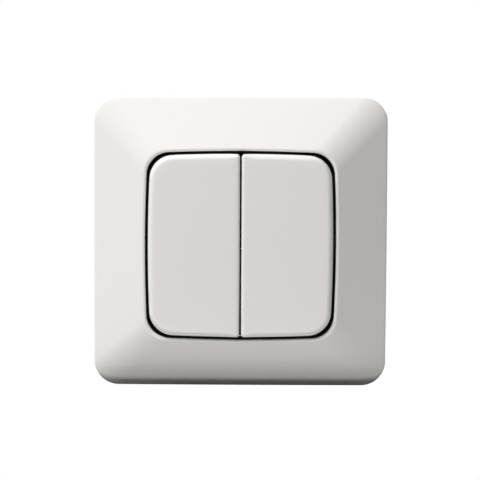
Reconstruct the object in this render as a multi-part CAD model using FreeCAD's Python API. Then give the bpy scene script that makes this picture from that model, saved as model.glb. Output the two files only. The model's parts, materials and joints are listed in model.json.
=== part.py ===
"""Flush-mounted double push button light switch, as a set of separate solids.

Frame of the part: +Z is up, +X is to the right as the switch is looked at, and +Y points into
the wall, so the keys face -Y. The origin is the centre of the box screw pattern on the wall
plane, which is the back face of the steel support ring. Sizes are in millimetres and angles
in degrees. A "level" is a Y coordinate: levels in front of the wall are negative.
"""

import FreeCAD, Part

import math
import os

from FreeCAD import Vector

# Cover frame: a moulded shell with a bevel that climbs from a low rim to the opening
frame_width = 81.0
frame_depth = 11.0
frame_corner = 6.8
frame_rim = 3.0
frame_wall = 2.0
rim_edge_radius = 0.8
opening_margin = 5.75
opening_corner = 6.3
opening_side_bow = 456.0
collar_wall = 1.5
corner_rib_wall = 1.2
corner_rib_gap = 0.4
rim_edge_steps = 2
skin_corner_steps = 6
screw_head_width = 9.0
screw_head_height = 3.6

# Keys: two halves of one bowed cushion shape
key_gap = 0.75
key_corner = 6.7
middle_gap = 0.45
key_proud = 1.2
key_front_wall = 2.3
key_skirt_wall = 1.5
key_skirt_depth = 6.7
key_edge_radius = 1.2
key_inner_edge_radius = 0.6
key_inner_corner = 0.9
key_edge_steps = 2
key_rib_wall = 1.0
key_rib_height = 1.5
key_rib_share = 0.6
key_hook_width = 3.5
key_hook_wall = 1.2
key_hook_catch = 0.6

# Yokes: the tilting carriers that the keys clip on
key_tilt = 4.0
pivot_drop = 2.6
pivot_radius = 1.2
yoke_length = 34.0
yoke_plate = 1.8
yoke_cheek_wall = 1.5
yoke_cheek_radius = 2.4
yoke_side_play = 0.4
tower_half = 2.6
tower_clearance = 0.8

# Plungers and coil springs
plunger_radius = 1.6
plunger_tip_radius = 1.0
plunger_tip_height = 0.6
plunger_cone_length = 1.0
plunger_length = 10.0
plunger_stand_out = 5.55
plunger_swing = 2.0
plunger_spring_wire = 0.4
plunger_spring_turns = 6
return_spring_radius = 2.2
return_spring_wire = 0.5
return_spring_turns = 4
return_spring_inset = 4.6
spring_boss_height = 0.9
spring_seat_depth = 0.6
spring_steps = 8
spring_wire_sides = 5

# Mechanism cover: flange, plug and the bearing cheeks for the yokes
flange_thickness = 1.6
flange_margin = 0.3
flange_chamfer = 5.5
plug_clearance = 0.15
bearing_wall = 2.8
outer_bearing_wall = 1.4
outer_bearing_margin = 0.5
bearing_depth = 6.0
bearing_rim = 1.9
snap_mouth = 2.0
stop_width = 6.0
stop_wall = 1.2
upper_stop_inset = 2.4
lower_stop_inset = 1.4

# Support ring: a stamped and galvanised steel plate
ring_margin = 3.0
ring_thickness = 1.0
ring_corner = 5.0
flange_side_lap = 1.4
flange_end_lap = 0.8
ring_opening_chamfer = 4.0
box_screw_spacing = 60.0
slot_width = 4.2
slot_length = 6.4
latch_x = 7.5
latch_width = 5.0
latch_wall = 1.0
latch_catch = 0.7
latch_lead = 0.2

# Switch base: the moulded body behind the ring
base_width = 41.0
base_height = 43.0
base_depth = 22.5
base_chamfer = 6.0
base_rear_chamfer = 1.5
base_outer_wall = 1.4
base_rear_wall = 1.7
chamber_side_wall = 3.4
middle_wall = 7.4
chamber_height = 23.6
claw_groove = 0.8
rear_recess = 0.6
rear_recess_margin = 1.0

# Contacts, in brass and silver
strip_thickness = 0.8
strip_width = 4.4
rocker_width = 5.0
rocker_length = 20.0
rocker_front = 0.7
rocker_back = 0.3
rocker_swing = 16.0
contact_arm = 8.5
contact_radius = 1.6
contact_height = 0.8
contact_margin = 0.6
knife_height = 3.1
knife_wall = 1.0
knife_half_angle = 25.0

# Terminals: brass cages with a clamping screw
cage_width = 6.8
cage_side_wall = 1.0
cage_inner_wall = 0.8
cage_outer_wall = 1.5
cage_height = 6.4
cage_length = 4.4
terminal_screw_radius = 1.5
terminal_head_radius = 2.5
terminal_head_height = 1.3
wire_entry_width = 3.6
wire_entry_height = 3.4
wire_entry_chamfer = 0.8

# Claws and their screws
claw_sheet = 1.2
claw_width = 11.0
claw_leg = 11.85
claw_tooth_reach = 2.2
claw_tooth_angle = 35.0
claw_teeth = 4
claw_gap_start = 0.35
claw_gap_flare = 0.9
claw_screw_stand_off = 3.5
claw_screw_radius = 1.5
claw_screw_stand_out = 3.9
claw_hole_clearance = 0.25
claw_tab_clearance = 0.12
claw_head_radius = 2.6
claw_head_height = 1.8
claw_head_lift = 1.0

# Assembly screws that hold cover, ring and base together
assembly_screw_side_inset = 3.1
assembly_screw_end_inset = 8.3
assembly_screw_radius = 1.2
assembly_screw_length = 9.0
assembly_head_radius = 2.1
assembly_head_height = 1.3

# Fits, and how far a cut runs past the face that it opens
cut_overrun = 1.0
running_clearance = 0.05
seat_clearance = 0.1
loose_clearance = 0.2
drive_slot_width = 0.8
drive_slot_depth = 0.7

# Levels along Y that several pieces share
ring_front = -ring_thickness
flange_front = ring_front - flange_thickness
opening_level = -frame_depth
key_face = opening_level - key_proud
key_inside = key_face + key_front_wall
key_skirt_end = key_face + key_skirt_depth
yoke_back = key_inside + yoke_plate
pivot_level = yoke_back + pivot_drop
terminal_floor = base_depth - base_rear_wall
cage_front = terminal_floor - seat_clearance - cage_length
cage_middle = cage_front + cage_length / 2
strip_back = cage_front - seat_clearance
strip_front = strip_back - strip_thickness
rocker_level = strip_front - knife_height
tip_level = rocker_level - rocker_front - running_clearance

# Places across the switch that several pieces share
opening_half = base_width / 2 + opening_margin
frame_half = frame_width / 2
bevel_run = frame_half - opening_half
bevel_slope = (frame_depth - frame_rim) / bevel_run
key_half = opening_half - key_gap
ring_half = frame_half - frame_wall - ring_margin
flange_width = base_width - 2 * flange_margin
flange_height = base_height - 2 * flange_margin
ring_opening_width = flange_width - 2 * flange_side_lap
ring_opening_height = flange_height - 2 * flange_end_lap
yoke_inner_x = bearing_wall / 2 + yoke_side_play
outer_bearing_x = base_width / 2 - outer_bearing_margin - outer_bearing_wall
yoke_outer_x = outer_bearing_x - yoke_side_play
yoke_width = yoke_outer_x - yoke_inner_x
gang_x = (yoke_inner_x + yoke_outer_x) / 2
yoke_half_length = yoke_length / 2
return_spring_z = return_spring_inset - yoke_half_length
upper_stop_z = yoke_half_length - upper_stop_inset
lower_stop_z = lower_stop_inset - yoke_half_length
hook_z = yoke_half_length + seat_clearance
cage_outer_z = base_height / 2 - base_outer_wall - seat_clearance * 2
cage_inner_z = cage_outer_z - cage_height
tab_z = cage_inner_z + cage_inner_wall + running_clearance + strip_thickness / 2
claw_screw_x = base_width / 2 + claw_screw_stand_off
assembly_screw_x = base_width / 2 - assembly_screw_side_inset
assembly_screw_z = base_height / 2 - assembly_screw_end_inset
assembly_screw_places = [(-assembly_screw_x, assembly_screw_z), (assembly_screw_x, -assembly_screw_z)]

SIDES = {"left": -1, "right": 1}
LEVELS = {"upper": 1, "lower": -1}


def block(x0, x1, y0, y1, z0, z1):
    """A box between two corners, whichever way round each pair is given."""
    low = Vector(min(x0, x1), min(y0, y1), min(z0, z1))
    return Part.makeBox(abs(x1 - x0), abs(y1 - y0), abs(z1 - z0), low)


def rod(radius, start, direction, length):
    """A cylinder from a start point along a direction."""
    return Part.makeCylinder(radius, length, Vector(*start), Vector(*direction))


def prism_along_x(profile, x0, width):
    """A prism over a closed outline of (y, z) points, from x0 towards +X."""
    points = [Vector(x0, y, z) for y, z in profile]
    return Part.Face(Part.makePolygon(points + points[:1])).extrude(Vector(width, 0, 0))


def union(shapes):
    """One shape fused from a list, with its seams cleaned."""
    first, *rest = shapes
    return first.fuse(rest).removeSplitter() if rest else first


def mirrored(shape, side):
    """The shape as drawn for the right side, or its mirror image for the left side."""
    return shape if side > 0 else shape.mirror(Vector(0, 0, 0), Vector(1, 0, 0))


def flipped(shape, level):
    """The shape as drawn for the upper half, or its mirror image for the lower half."""
    return shape if level > 0 else shape.mirror(Vector(0, 0, 0), Vector(0, 0, 1))


def bowed_square(half, corner, bow, y):
    """A closed outline at a level: four bowed sides of a large radius, joined by tangent corner arcs."""
    side_centre = bow - half
    corner_run = bow - corner
    c = (math.sqrt(2 * corner_run**2 - side_centre**2) - side_centre) / 2
    tangent_x = bow * c / corner_run
    tangent_z = bow * (c + side_centre) / corner_run - side_centre
    diagonal = c + corner / math.sqrt(2)
    quarter = [
        Part.Arc(Vector(-tangent_x, y, tangent_z), Vector(0, y, half), Vector(tangent_x, y, tangent_z)),
        Part.Arc(
            Vector(tangent_x, y, tangent_z),
            Vector(diagonal, y, diagonal),
            Vector(tangent_z, y, tangent_x),
        ),
    ]
    edges = []
    for turn in range(4):
        for arc in quarter:
            edge = arc.toShape()
            edge.rotate(Vector(0, 0, 0), Vector(0, 1, 0), 90 * turn)
            edges.append(edge)
    return Part.Wire(Part.__sortEdges__(edges))


def bowed_prism(half, corner, bow, y0, y1):
    """A straight prism over a bowed square between two levels."""
    face = Part.Face(bowed_square(half, corner, bow, y0))
    return face.extrude(Vector(0, y1 - y0, 0))


def octagon_prism(width, height, chamfer, y0, y1):
    """A rectangular prism with its four long edges chamfered."""
    points = [Vector(px, y0, pz) for px, pz in octagon_points(width / 2, height / 2, chamfer)]
    return Part.Face(Part.makePolygon(points + points[:1])).extrude(Vector(0, y1 - y0, 0))


def octagon_points(x, z, chamfer):
    """The corners of a rectangle of two half lengths with its corners cut off."""
    return [
        (x, z - chamfer),
        (x - chamfer, z),
        (chamfer - x, z),
        (-x, z - chamfer),
        (-x, chamfer - z),
        (chamfer - x, -z),
        (x - chamfer, -z),
        (x, chamfer - z),
    ]


def slot_prism(centre, along, width, length, y0, y1):
    """A round-ended slot through the sheet, centred on (x, z) and running along "x" or "z"."""
    x, z = centre
    run = (length - width) / 2
    dx, dz = (run, 0) if along == "x" else (0, run)
    ends = [rod(width / 2, (x + s * dx, y0, z + s * dz), (0, 1, 0), y1 - y0) for s in (-1, 1)]
    wide, tall = (run, width / 2) if along == "x" else (width / 2, run)
    return union([*ends, block(x - wide, x + wide, y0, y1, z - tall, z + tall)])


def bent_strip(points, thickness, width, plane):
    """Sheet metal bent along a line of points, with rounded bends.

    In plane "yz" the points are (y, z) and the width runs along X, centred on X = 0.
    In plane "xy" they are (x, y) and the width runs along Z, centred on Z = 0.
    """
    pieces = []
    for (a0, b0), (a1, b1) in zip(points, points[1:]):
        run = math.hypot(a1 - a0, b1 - b0)
        turn = math.degrees(math.atan2(b1 - b0, a1 - a0))
        flat = block(0, run, -thickness / 2, thickness / 2, -width / 2, width / 2)
        flat.rotate(Vector(0, 0, 0), Vector(0, 0, 1), turn)
        flat.translate(Vector(a0, b0, 0))
        pieces.append(flat)
    for a, b in points[1:-1]:
        pieces.append(rod(thickness / 2, (a, b, -width / 2), (0, 0, 1), width))
    strip = union(pieces)
    if plane == "yz":
        # X to Y, Y to Z and Z to X, so the bend's own plane becomes the YZ plane
        strip.transformShape(FreeCAD.Matrix(0, 0, 1, 0, 1, 0, 0, 0, 0, 1, 0, 0, 0, 0, 0, 1))
    return strip


def coil_spring(radius, wire, length, turns, start):
    """A compression spring along +Y from its start point, as short straight runs of a many-sided wire."""
    height = length - wire
    steps = turns * spring_steps
    points = []
    for step in range(steps + 1):
        angle = 2 * math.pi * step / spring_steps
        y = wire / 2 + height * step / steps
        points.append(Vector(radius * math.cos(angle), y, radius * math.sin(angle)))
    path = Part.makePolygon(points)
    along = points[1] - points[0]
    section = regular_outline(wire / 2, spring_wire_sides, points[0], along)
    spring = path.makePipeShell([section], True, True, 1)
    spring.translate(Vector(*start))
    return spring


def regular_outline(radius, sides, centre, normal):
    """A regular polygon round a centre, in the plane across a normal."""
    turn = FreeCAD.Rotation(Vector(0, 0, 1), normal)
    points = []
    for side in range(sides + 1):
        angle = 2 * math.pi * side / sides
        points.append(centre + turn.multVec(Vector(radius * math.cos(angle), radius * math.sin(angle), 0)))
    return Part.makePolygon(points)


def drive_slot(head_radius, start, direction):
    """The screwdriver slot cut into a screw head, from the head's end point along its axis."""
    half = drive_slot_width / 2
    reach = head_radius + cut_overrun
    x, y, z = start
    depth = Vector(*direction) * drive_slot_depth
    if depth.y:
        return block(x - half, x + half, y, y + depth.y, z - reach, z + reach)
    return block(x - half, x + half, y - reach, y + reach, z, z + depth.z)


def rounded_square(half, corner, y):
    """A closed outline at a level: four straight sides and four corner arcs."""
    run = half - corner
    diagonal = run + corner / math.sqrt(2)
    edges = []
    for turn in range(4):
        side = Part.makeLine(Vector(-run, y, half), Vector(run, y, half))
        arc = Part.Arc(Vector(run, y, half), Vector(diagonal, y, diagonal), Vector(half, y, run)).toShape()
        for edge in (side, arc):
            edge.rotate(Vector(0, 0, 0), Vector(0, 1, 0), 90 * turn)
            edges.append(edge)
    return Part.Wire(Part.__sortEdges__(edges))


def rounded_prism(half, corner, y0, y1):
    """A straight prism over a rounded square between two levels."""
    return Part.Face(rounded_square(half, corner, y0)).extrude(Vector(0, y1 - y0, 0))


def stepped_square(half, corner, y):
    """The points of a rounded square at a level, each corner arc in straight steps."""
    points = []
    for turn in range(4):
        middle = math.pi / 2 * turn + math.pi / 4
        centre = (half - corner) * math.sqrt(2)
        for step in range(skin_corner_steps + 1):
            angle = math.pi / 2 * (turn + step / skin_corner_steps)
            x = centre * math.cos(middle) + corner * math.cos(angle)
            z = centre * math.sin(middle) + corner * math.sin(angle)
            points.append(Vector(x, y, z))
    return points


def flat_sided_solid(rings):
    """A solid of flat faces through rings that hold the same number of points."""
    faces = [Part.Face(Part.makePolygon(ring + ring[:1])) for ring in (rings[0], rings[-1])]
    for lower, upper in zip(rings, rings[1:]):
        for i in range(len(lower)):
            corners = [lower[i - 1], lower[i], upper[i], upper[i - 1]]
            faces.append(Part.Face(Part.makePolygon(corners + corners[:1])))
    skin = Part.Shell(faces)
    skin.sewShape()
    return Part.Solid(skin)


def frame_skin():
    """The solid inside the frame's outer skin: rim, rounded rim edge and a bevel past the opening."""
    rim_turn = math.pi / 2 - math.atan(bevel_slope)
    rim_tangent = rim_edge_radius * math.tan(rim_turn / 2)
    profile = [(0, 0)]
    for step in range(rim_edge_steps + 1):
        turn = rim_turn * step / rim_edge_steps
        height = frame_rim - rim_tangent + rim_edge_radius * math.sin(turn)
        profile.append((rim_edge_radius * (1 - math.cos(turn)), height))
    past = cut_overrun
    profile.append((bevel_run + past, frame_depth + past * bevel_slope))
    rings = [stepped_square(frame_half - inset, frame_corner, -climb) for inset, climb in profile]
    return flat_sided_solid(rings)


def frame_ceiling():
    """The solid under the inner side of the bevel: a flat-sided pyramid a wall's thickness behind it."""
    drop = frame_wall * math.hypot(1, bevel_slope)
    rings = []
    for inset, climb in ((0, frame_rim - drop), (bevel_run, frame_depth - drop)):
        half = frame_half - inset
        chamfer = frame_corner * (2 - math.sqrt(2))
        rings.append([Vector(x, -climb, z) for x, z in octagon_points(half, half, chamfer)])
    foot = [point + Vector(0, cut_overrun, 0) for point in rings[0]]
    return flat_sided_solid([foot] + rings)


def cover_frame():
    """The outer frame: a bevelled shell with a collar round its opening, corner ribs and latch tongues."""
    front = opening_level - 2 * cut_overrun
    opening = bowed_prism(opening_half, opening_corner, opening_side_bow, front, cut_overrun)
    inner_half = frame_half - frame_wall
    inner = rounded_prism(inner_half, frame_corner - frame_wall / 2, front, cut_overrun)
    collar = bowed_prism(
        opening_half + collar_wall, opening_corner + collar_wall, opening_side_bow, front, ring_front
    )
    cavity = inner.common(frame_ceiling()).cut(collar)
    body = frame_skin().cut([opening, cavity])

    ribs = []
    rib_start = (opening_half + collar_wall - opening_corner / 2) * math.sqrt(2)
    rib_end = frame_half * math.sqrt(2)
    rib_back = ring_front - corner_rib_gap
    for turn in range(4):
        rib = block(rib_start, rib_end, front, rib_back, -corner_rib_wall / 2, corner_rib_wall / 2)
        rib.rotate(Vector(0, 0, 0), Vector(0, 1, 0), 45 + 90 * turn)
        ribs.append(rib)
    body = union([body, *(rib.common(cavity) for rib in ribs)])

    notches = []
    for turn in range(4):
        notch = block(
            -screw_head_width / 2,
            screw_head_width / 2,
            ring_front - screw_head_height,
            cut_overrun,
            opening_half - cut_overrun,
            opening_half + collar_wall + cut_overrun,
        )
        notch.rotate(Vector(0, 0, 0), Vector(0, 1, 0), 90 * turn)
        notches.append(notch)
    body = body.cut(notches)
    return union([body, *(frame_latch(x, level) for x in (-latch_x, latch_x) for level in (1, -1))])


def latch_base_z():
    """Where the latch tongues stand: inside the collar's wall, clear of its two faces."""
    return opening_half + (collar_wall - latch_wall) / 2


def frame_latch(x, level):
    """A tongue that runs back from the collar through the ring and catches behind it."""
    z0 = latch_base_z()
    z1 = z0 + latch_wall
    end = seat_clearance * 2 + latch_wall
    x0 = x - latch_width / 2
    tongue = block(x0, x0 + latch_width, ring_front - latch_wall, end, z0, z1)
    profile = [
        (seat_clearance, z1),
        (seat_clearance, z1 + latch_catch),
        (end, z1 + latch_lead),
        (end, z1),
    ]
    catch = prism_along_x(profile, x0, latch_width)
    return flipped(tongue.fuse(catch), level)


def key_section(inset, inner_inset, y):
    """The right key's closed outline: three bowed sides, a straight inner side and four corners."""
    x = middle_gap / 2 + inner_inset
    half = key_half - inset
    corner = key_corner - inset
    small = key_inner_corner - inner_inset / 2
    side_centre = opening_side_bow - inset - half
    corner_run = opening_side_bow - inset - corner
    c = (math.sqrt(2 * corner_run**2 - side_centre**2) - side_centre) / 2
    tangent_x = (opening_side_bow - inset) * c / corner_run
    tangent_z = (opening_side_bow - inset) * (c + side_centre) / corner_run - side_centre
    diagonal = c + corner / math.sqrt(2)

    bow = opening_side_bow - inset
    small_z = math.sqrt((bow - small) ** 2 - (x + small) ** 2) - side_centre
    lean = math.atan((x + small) / (small_z + side_centre))
    start_x = bow * math.sin(lean)
    start_z = bow * math.cos(lean) - side_centre
    turn = (math.pi / 2 - lean) / 2 + lean
    small_middle = (x + small - small * math.cos(turn - lean), small_z + small * math.sin(turn - lean))
    top_middle_x = (start_x + tangent_x) / 2
    top_middle = (top_middle_x, math.sqrt(bow**2 - top_middle_x**2) - side_centre)
    upper = [
        ((x, small_z), small_middle, (start_x, start_z)),
        ((start_x, start_z), top_middle, (tangent_x, tangent_z)),
        ((tangent_x, tangent_z), (diagonal, diagonal), (tangent_z, tangent_x)),
    ]
    lower = [tuple((px, -pz) for px, pz in arc) for arc in upper]
    arcs = [*upper, ((tangent_z, tangent_x), (half, 0), (tangent_z, -tangent_x)), *lower]
    edges = [Part.Arc(*(Vector(px, y, pz) for px, pz in arc)).toShape() for arc in arcs]
    edges.append(Part.makeLine(Vector(x, y, -small_z), Vector(x, y, small_z)))
    return Part.Wire(Part.__sortEdges__(edges))


def key_cushion():
    """The solid outer form of a key: a straight skirt and edges rounded on to a flat front."""
    sections = [key_section(0, 0, key_skirt_end)]
    for step in range(key_edge_steps + 1):
        turn = math.pi / 2 * step / key_edge_steps
        depth = key_edge_radius * (1 - math.sin(turn))
        left_over = max(key_inner_edge_radius - depth, 0)
        inner_inset = key_inner_edge_radius - math.sqrt(key_inner_edge_radius**2 - left_over**2)
        sections.append(key_section(key_edge_radius * (1 - math.cos(turn)), inner_inset, key_face + depth))
    return Part.makeLoft(sections, True, True)


def key(side):
    """One push key: half of the cushion in the opening, hollow behind, with hooks for its yoke."""
    inner_x = middle_gap / 2
    hollow_corner = key_corner - key_skirt_wall / 2
    end = key_skirt_end + cut_overrun
    reach = key_half + cut_overrun
    hollow = bowed_prism(key_half - key_skirt_wall, hollow_corner, opening_side_bow, key_inside, end)
    hollow_start = inner_x + key_skirt_wall
    hollow = hollow.common(block(hollow_start, key_half, key_inside, end, -key_half, key_half))
    inner_skirt_end = key_inside + key_skirt_wall
    relief_end = hollow_start + seat_clearance
    relief = block(-cut_overrun, relief_end, inner_skirt_end, end, -reach, reach)
    body = key_cushion().cut([hollow, relief])

    rib_start = yoke_outer_x + loose_clearance
    rib_end = key_half - key_skirt_wall / 2
    rib_half = key_rib_wall / 2
    rib_front = key_inside - key_rib_wall / 2
    additions = []
    for z in (-yoke_half_length * key_rib_share, 0, yoke_half_length * key_rib_share):
        additions.append(
            block(rib_start, rib_end, rib_front, key_inside + key_rib_height, z - rib_half, z + rib_half)
        )
    for x in (gang_x - yoke_width / 4, gang_x + yoke_width / 4):
        for level in (1, -1):
            additions.append(key_hook(x, level))
    return mirrored(union([body, *additions]), side)


def key_hook(x, level):
    """A hook behind the key that catches under the end of its yoke."""
    back = yoke_back + running_clearance
    end = back + key_hook_wall
    root = key_inside - key_hook_wall / 2
    profile = [
        (root, hook_z),
        (root, hook_z + key_hook_wall),
        (end, hook_z + key_hook_wall),
        (end, hook_z),
        (back, hook_z - key_hook_catch),
        (back, hook_z),
    ]
    hook = prism_along_x(profile, x - key_hook_width / 2, key_hook_width)
    return flipped(hook, level)


def aimed(shape):
    """Turns what is drawn along +Y from the pivot to the plunger's rest angle."""
    shape.rotate(Vector(0, pivot_level, 0), Vector(1, 0, 0), -plunger_swing)
    return shape


def yoke(side):
    """The tilting carrier: a plate with pivot pins, a spring boss and the plunger's tower."""
    x0, x1 = yoke_inner_x, yoke_outer_x
    plate = block(x0, x1, key_inside, yoke_back, -yoke_half_length, yoke_half_length)
    half = yoke_cheek_radius
    pieces = [plate]
    for inner, outer in ((x0, x0 + yoke_cheek_wall), (x1 - yoke_cheek_wall, x1)):
        web = block(inner, outer, yoke_back, pivot_level, -half, half)
        pieces += [web, rod(half, (inner, pivot_level, 0), (1, 0, 0), yoke_cheek_wall)]
    for start, direction in ((x0, -1), (x1, 1)):
        pin_length = outer_bearing_wall + seat_clearance * 2
        pieces.append(rod(pivot_radius, (start, pivot_level, 0), (direction, 0, 0), pin_length))
    tower_start = key_inside + yoke_plate / 2
    tower_end = tip_level - plunger_stand_out
    tower = block(
        gang_x - tower_half, gang_x + tower_half, tower_start, tower_end, -tower_half, tower_half
    )
    pieces.append(aimed(tower))
    boss_radius = return_spring_radius - return_spring_wire / 2 - loose_clearance
    pieces.append(rod(boss_radius, (gang_x, yoke_back, return_spring_z), (0, 1, 0), spring_boss_height))
    bore_floor = yoke_back + seat_clearance
    bore_length = tower_end + cut_overrun - bore_floor
    bore = rod(plunger_radius + running_clearance, (gang_x, bore_floor, 0), (0, 1, 0), bore_length)
    return mirrored(union(pieces).cut(aimed(bore)), side)


def plunger(side):
    """The blunt-nosed pin in the yoke's tower that presses on the contact rocker."""
    start = tip_level - plunger_length
    cone_end = tip_level - plunger_tip_height
    profile = [
        (0, start),
        (plunger_radius, start),
        (plunger_radius, cone_end - plunger_cone_length),
        (plunger_tip_radius, cone_end),
        (0, tip_level),
    ]
    points = [Vector(gang_x + radius, y, 0) for radius, y in profile]
    half_section = Part.Face(Part.makePolygon(points + points[:1]))
    body = half_section.revolve(Vector(gang_x, 0, 0), Vector(0, 1, 0), 360)
    return mirrored(aimed(body), side)


def plunger_spring(side):
    """The coil behind the plunger, on the floor of the tower's bore."""
    start = yoke_back + seat_clearance
    end = tip_level - plunger_length
    radius = plunger_radius - plunger_spring_wire / 2 - running_clearance
    coil = coil_spring(radius, plunger_spring_wire, end - start, plunger_spring_turns, (gang_x, start, 0))
    return mirrored(aimed(coil), side)


def return_spring(side):
    """The coil under the lower half of the yoke that lifts the key again."""
    length = flange_front + spring_seat_depth - yoke_back
    start = (gang_x, yoke_back, return_spring_z)
    coil = coil_spring(return_spring_radius, return_spring_wire, length, return_spring_turns, start)
    return mirrored(coil, side)


def pressed_level(z):
    """Where the back of a yoke's plate lies at a height when its key is fully pressed."""
    swing = math.radians(key_tilt)
    lever = pivot_level - yoke_back
    return pivot_level - (lever + z * math.sin(swing)) / math.cos(swing)


def bearing_cheek(x0, x1):
    """An upright wall with a snap-in seat for a pivot pin."""
    half = bearing_depth / 2
    crest = pivot_level - bearing_rim
    wall = block(x0, x1, crest + bearing_rim, flange_front, -half, half)
    top = rod(half, (x0, pivot_level, 0), (1, 0, 0), x1 - x0)
    top = top.common(block(x0, x1, crest, pivot_level, -half, half))
    seat = rod(pivot_radius + running_clearance, (x0, pivot_level, 0), (1, 0, 0), x1 - x0)
    mouth = block(x0, x1, crest - cut_overrun, pivot_level, -snap_mouth / 2, snap_mouth / 2)
    return union([wall, top]).cut([seat, mouth])


def mechanism_cover():
    """The front plate of the insert, with the yokes' bearings, stops and spring seats."""
    flange = octagon_prism(flange_width, flange_height, flange_chamfer, flange_front, ring_front)
    plug = octagon_prism(
        ring_opening_width - 2 * plug_clearance,
        ring_opening_height - 2 * plug_clearance,
        ring_opening_chamfer,
        ring_front,
        0,
    )
    pieces = [flange, plug, bearing_cheek(-bearing_wall / 2, bearing_wall / 2)]
    cuts = []
    for side in SIDES.values():
        bearing = bearing_cheek(outer_bearing_x, outer_bearing_x + outer_bearing_wall)
        pieces.append(mirrored(bearing, side))
        lower_top = pressed_level(lower_stop_z - stop_wall / 2)
        for z, top in ((upper_stop_z, yoke_back), (lower_stop_z, lower_top)):
            stop = block(
                gang_x - stop_width / 2,
                gang_x + stop_width / 2,
                top + running_clearance,
                flange_front,
                z - stop_wall / 2,
                z + stop_wall / 2,
            )
            pieces.append(mirrored(stop, side))
        front = flange_front - cut_overrun
        seat_half = return_spring_radius + return_spring_wire / 2 + loose_clearance
        seat_z0, seat_z1 = return_spring_z - seat_half, return_spring_z + seat_half
        seat_end = flange_front + spring_seat_depth
        window = tower_half + tower_clearance
        for half, end, z0, z1 in (
            (seat_half, seat_end, seat_z0, seat_z1),
            (window, cut_overrun, -window, window),
        ):
            cuts.append(block(side * gang_x - half, side * gang_x + half, front, end, z0, z1))
    for x, z in assembly_screw_places:
        hole_start = flange_front - cut_overrun
        hole_radius = assembly_screw_radius + running_clearance
        cuts.append(rod(hole_radius, (x, hole_start, z), (0, 1, 0), cut_overrun - hole_start))
    return union(pieces).cut(cuts)


def support_ring():
    """The stamped plate that is screwed to the wall box and carries everything else."""
    half = ring_half
    plate = block(-half, half, ring_front, 0, -half, half)
    corners = [e for e in plate.Edges if e.BoundBox.YLength > ring_thickness / 2]
    plate = plate.makeFillet(ring_corner, corners)
    y0, y1 = ring_front - cut_overrun, cut_overrun
    cuts = [octagon_prism(ring_opening_width, ring_opening_height, ring_opening_chamfer, y0, y1)]
    reach = box_screw_spacing / 2
    for sign in (-1, 1):
        cuts.append(slot_prism((sign * reach, 0), "x", slot_width, slot_length, y0, y1))
        cuts.append(slot_prism((0, sign * reach), "z", slot_width, slot_length, y0, y1))
        claw_hole_radius = claw_screw_radius + claw_hole_clearance
        cuts.append(rod(claw_hole_radius, (sign * claw_screw_x, y0, 0), (0, 1, 0), y1 - y0))
        for x in (-latch_x, latch_x):
            z0 = latch_base_z()
            window = block(
                x - latch_width / 2 - loose_clearance,
                x + latch_width / 2 + loose_clearance,
                y0,
                y1,
                z0 - loose_clearance,
                z0 + latch_wall + loose_clearance,
            )
            cuts.append(flipped(window, sign))
    return plate.cut(cuts)


def wire_entry():
    """The mouth that a bared wire goes into, through the base's rear wall."""
    y0, y1 = terminal_floor - cut_overrun, base_depth + cut_overrun
    entry = octagon_prism(wire_entry_width, wire_entry_height, wire_entry_chamfer, y0, y1)
    entry.translate(Vector(gang_x, 0, wire_entry_z()))
    return entry


def wire_entry_z():
    """The height of the wire's path: between the contact tab and the screw's tip."""
    return (tab_z + strip_thickness / 2 + cage_outer_z - cage_outer_wall) / 2


def switch_base():
    """The moulded body: contact chambers in front, wire entries behind, screw holes above and below."""
    body = octagon_prism(base_width, base_height, base_chamfer, 0, base_depth)
    rear_edges = [e for e in body.Edges if e.BoundBox.YMin > base_depth / 2]
    body = body.makeChamfer(base_rear_chamfer, rear_edges)
    side_x = base_width / 2 - claw_groove
    groove_half = claw_width / 2 + loose_clearance
    chamber_end = side_x - chamber_side_wall
    chamber_half = chamber_height / 2
    past = base_depth + cut_overrun
    cuts = []
    for side in SIDES.values():
        chamber = block(
            middle_wall / 2, chamber_end, -cut_overrun, strip_back, -chamber_half, chamber_half
        )
        cuts.append(mirrored(chamber, side))
        groove = block(side_x, base_width, -cut_overrun, past, -groove_half, groove_half)
        cuts.append(mirrored(groove, side))
        for level in LEVELS.values():
            cuts += [mirrored(flipped(cut, level), side) for cut in terminal_cuts()]
    for x, z in assembly_screw_places:
        hole_radius = assembly_screw_radius + running_clearance
        hole_length = assembly_screw_length + cut_overrun
        cuts.append(rod(hole_radius, (x, -cut_overrun, z), (0, 1, 0), hole_length))
    bar_half = strip_width / 2 + running_clearance
    cuts.append(block(-gang_x, gang_x, -cut_overrun, strip_back, -bar_half, bar_half))
    recess_z = cage_inner_z - rear_recess_margin
    recess_x = gang_x + cage_width / 2
    cuts.append(block(-recess_x, recess_x, base_depth - rear_recess, past, -recess_z, recess_z))
    return body.cut(cuts)


def terminal_cuts():
    """What one terminal takes out of the base: its pocket, strip passage, wire entry and screw hole."""
    half = cage_width / 2 + seat_clearance * 2
    pocket_inner = cage_inner_z - seat_clearance * 2
    pocket_outer = cage_outer_z + seat_clearance * 2
    pocket = block(
        gang_x - half, gang_x + half, -cut_overrun, terminal_floor, pocket_inner, pocket_outer
    )
    strip_half = strip_width / 2 + seat_clearance
    passage = block(
        gang_x - strip_half,
        gang_x + strip_half,
        strip_front - seat_clearance,
        strip_back,
        chamber_height / 2 - cut_overrun,
        pocket_inner + cut_overrun,
    )
    window = terminal_head_radius + loose_clearance
    screw_window = block(
        gang_x - window,
        gang_x + window,
        cage_middle - window,
        cage_middle + window,
        cage_outer_z,
        base_height,
    )
    return [pocket, passage, wire_entry(), screw_window]


def fulcrum(shape):
    """Turns what is drawn level about the knife edge to the contact's open position."""
    shape.rotate(Vector(0, rocker_level, 0), Vector(1, 0, 0), rocker_swing / 2)
    return shape


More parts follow.
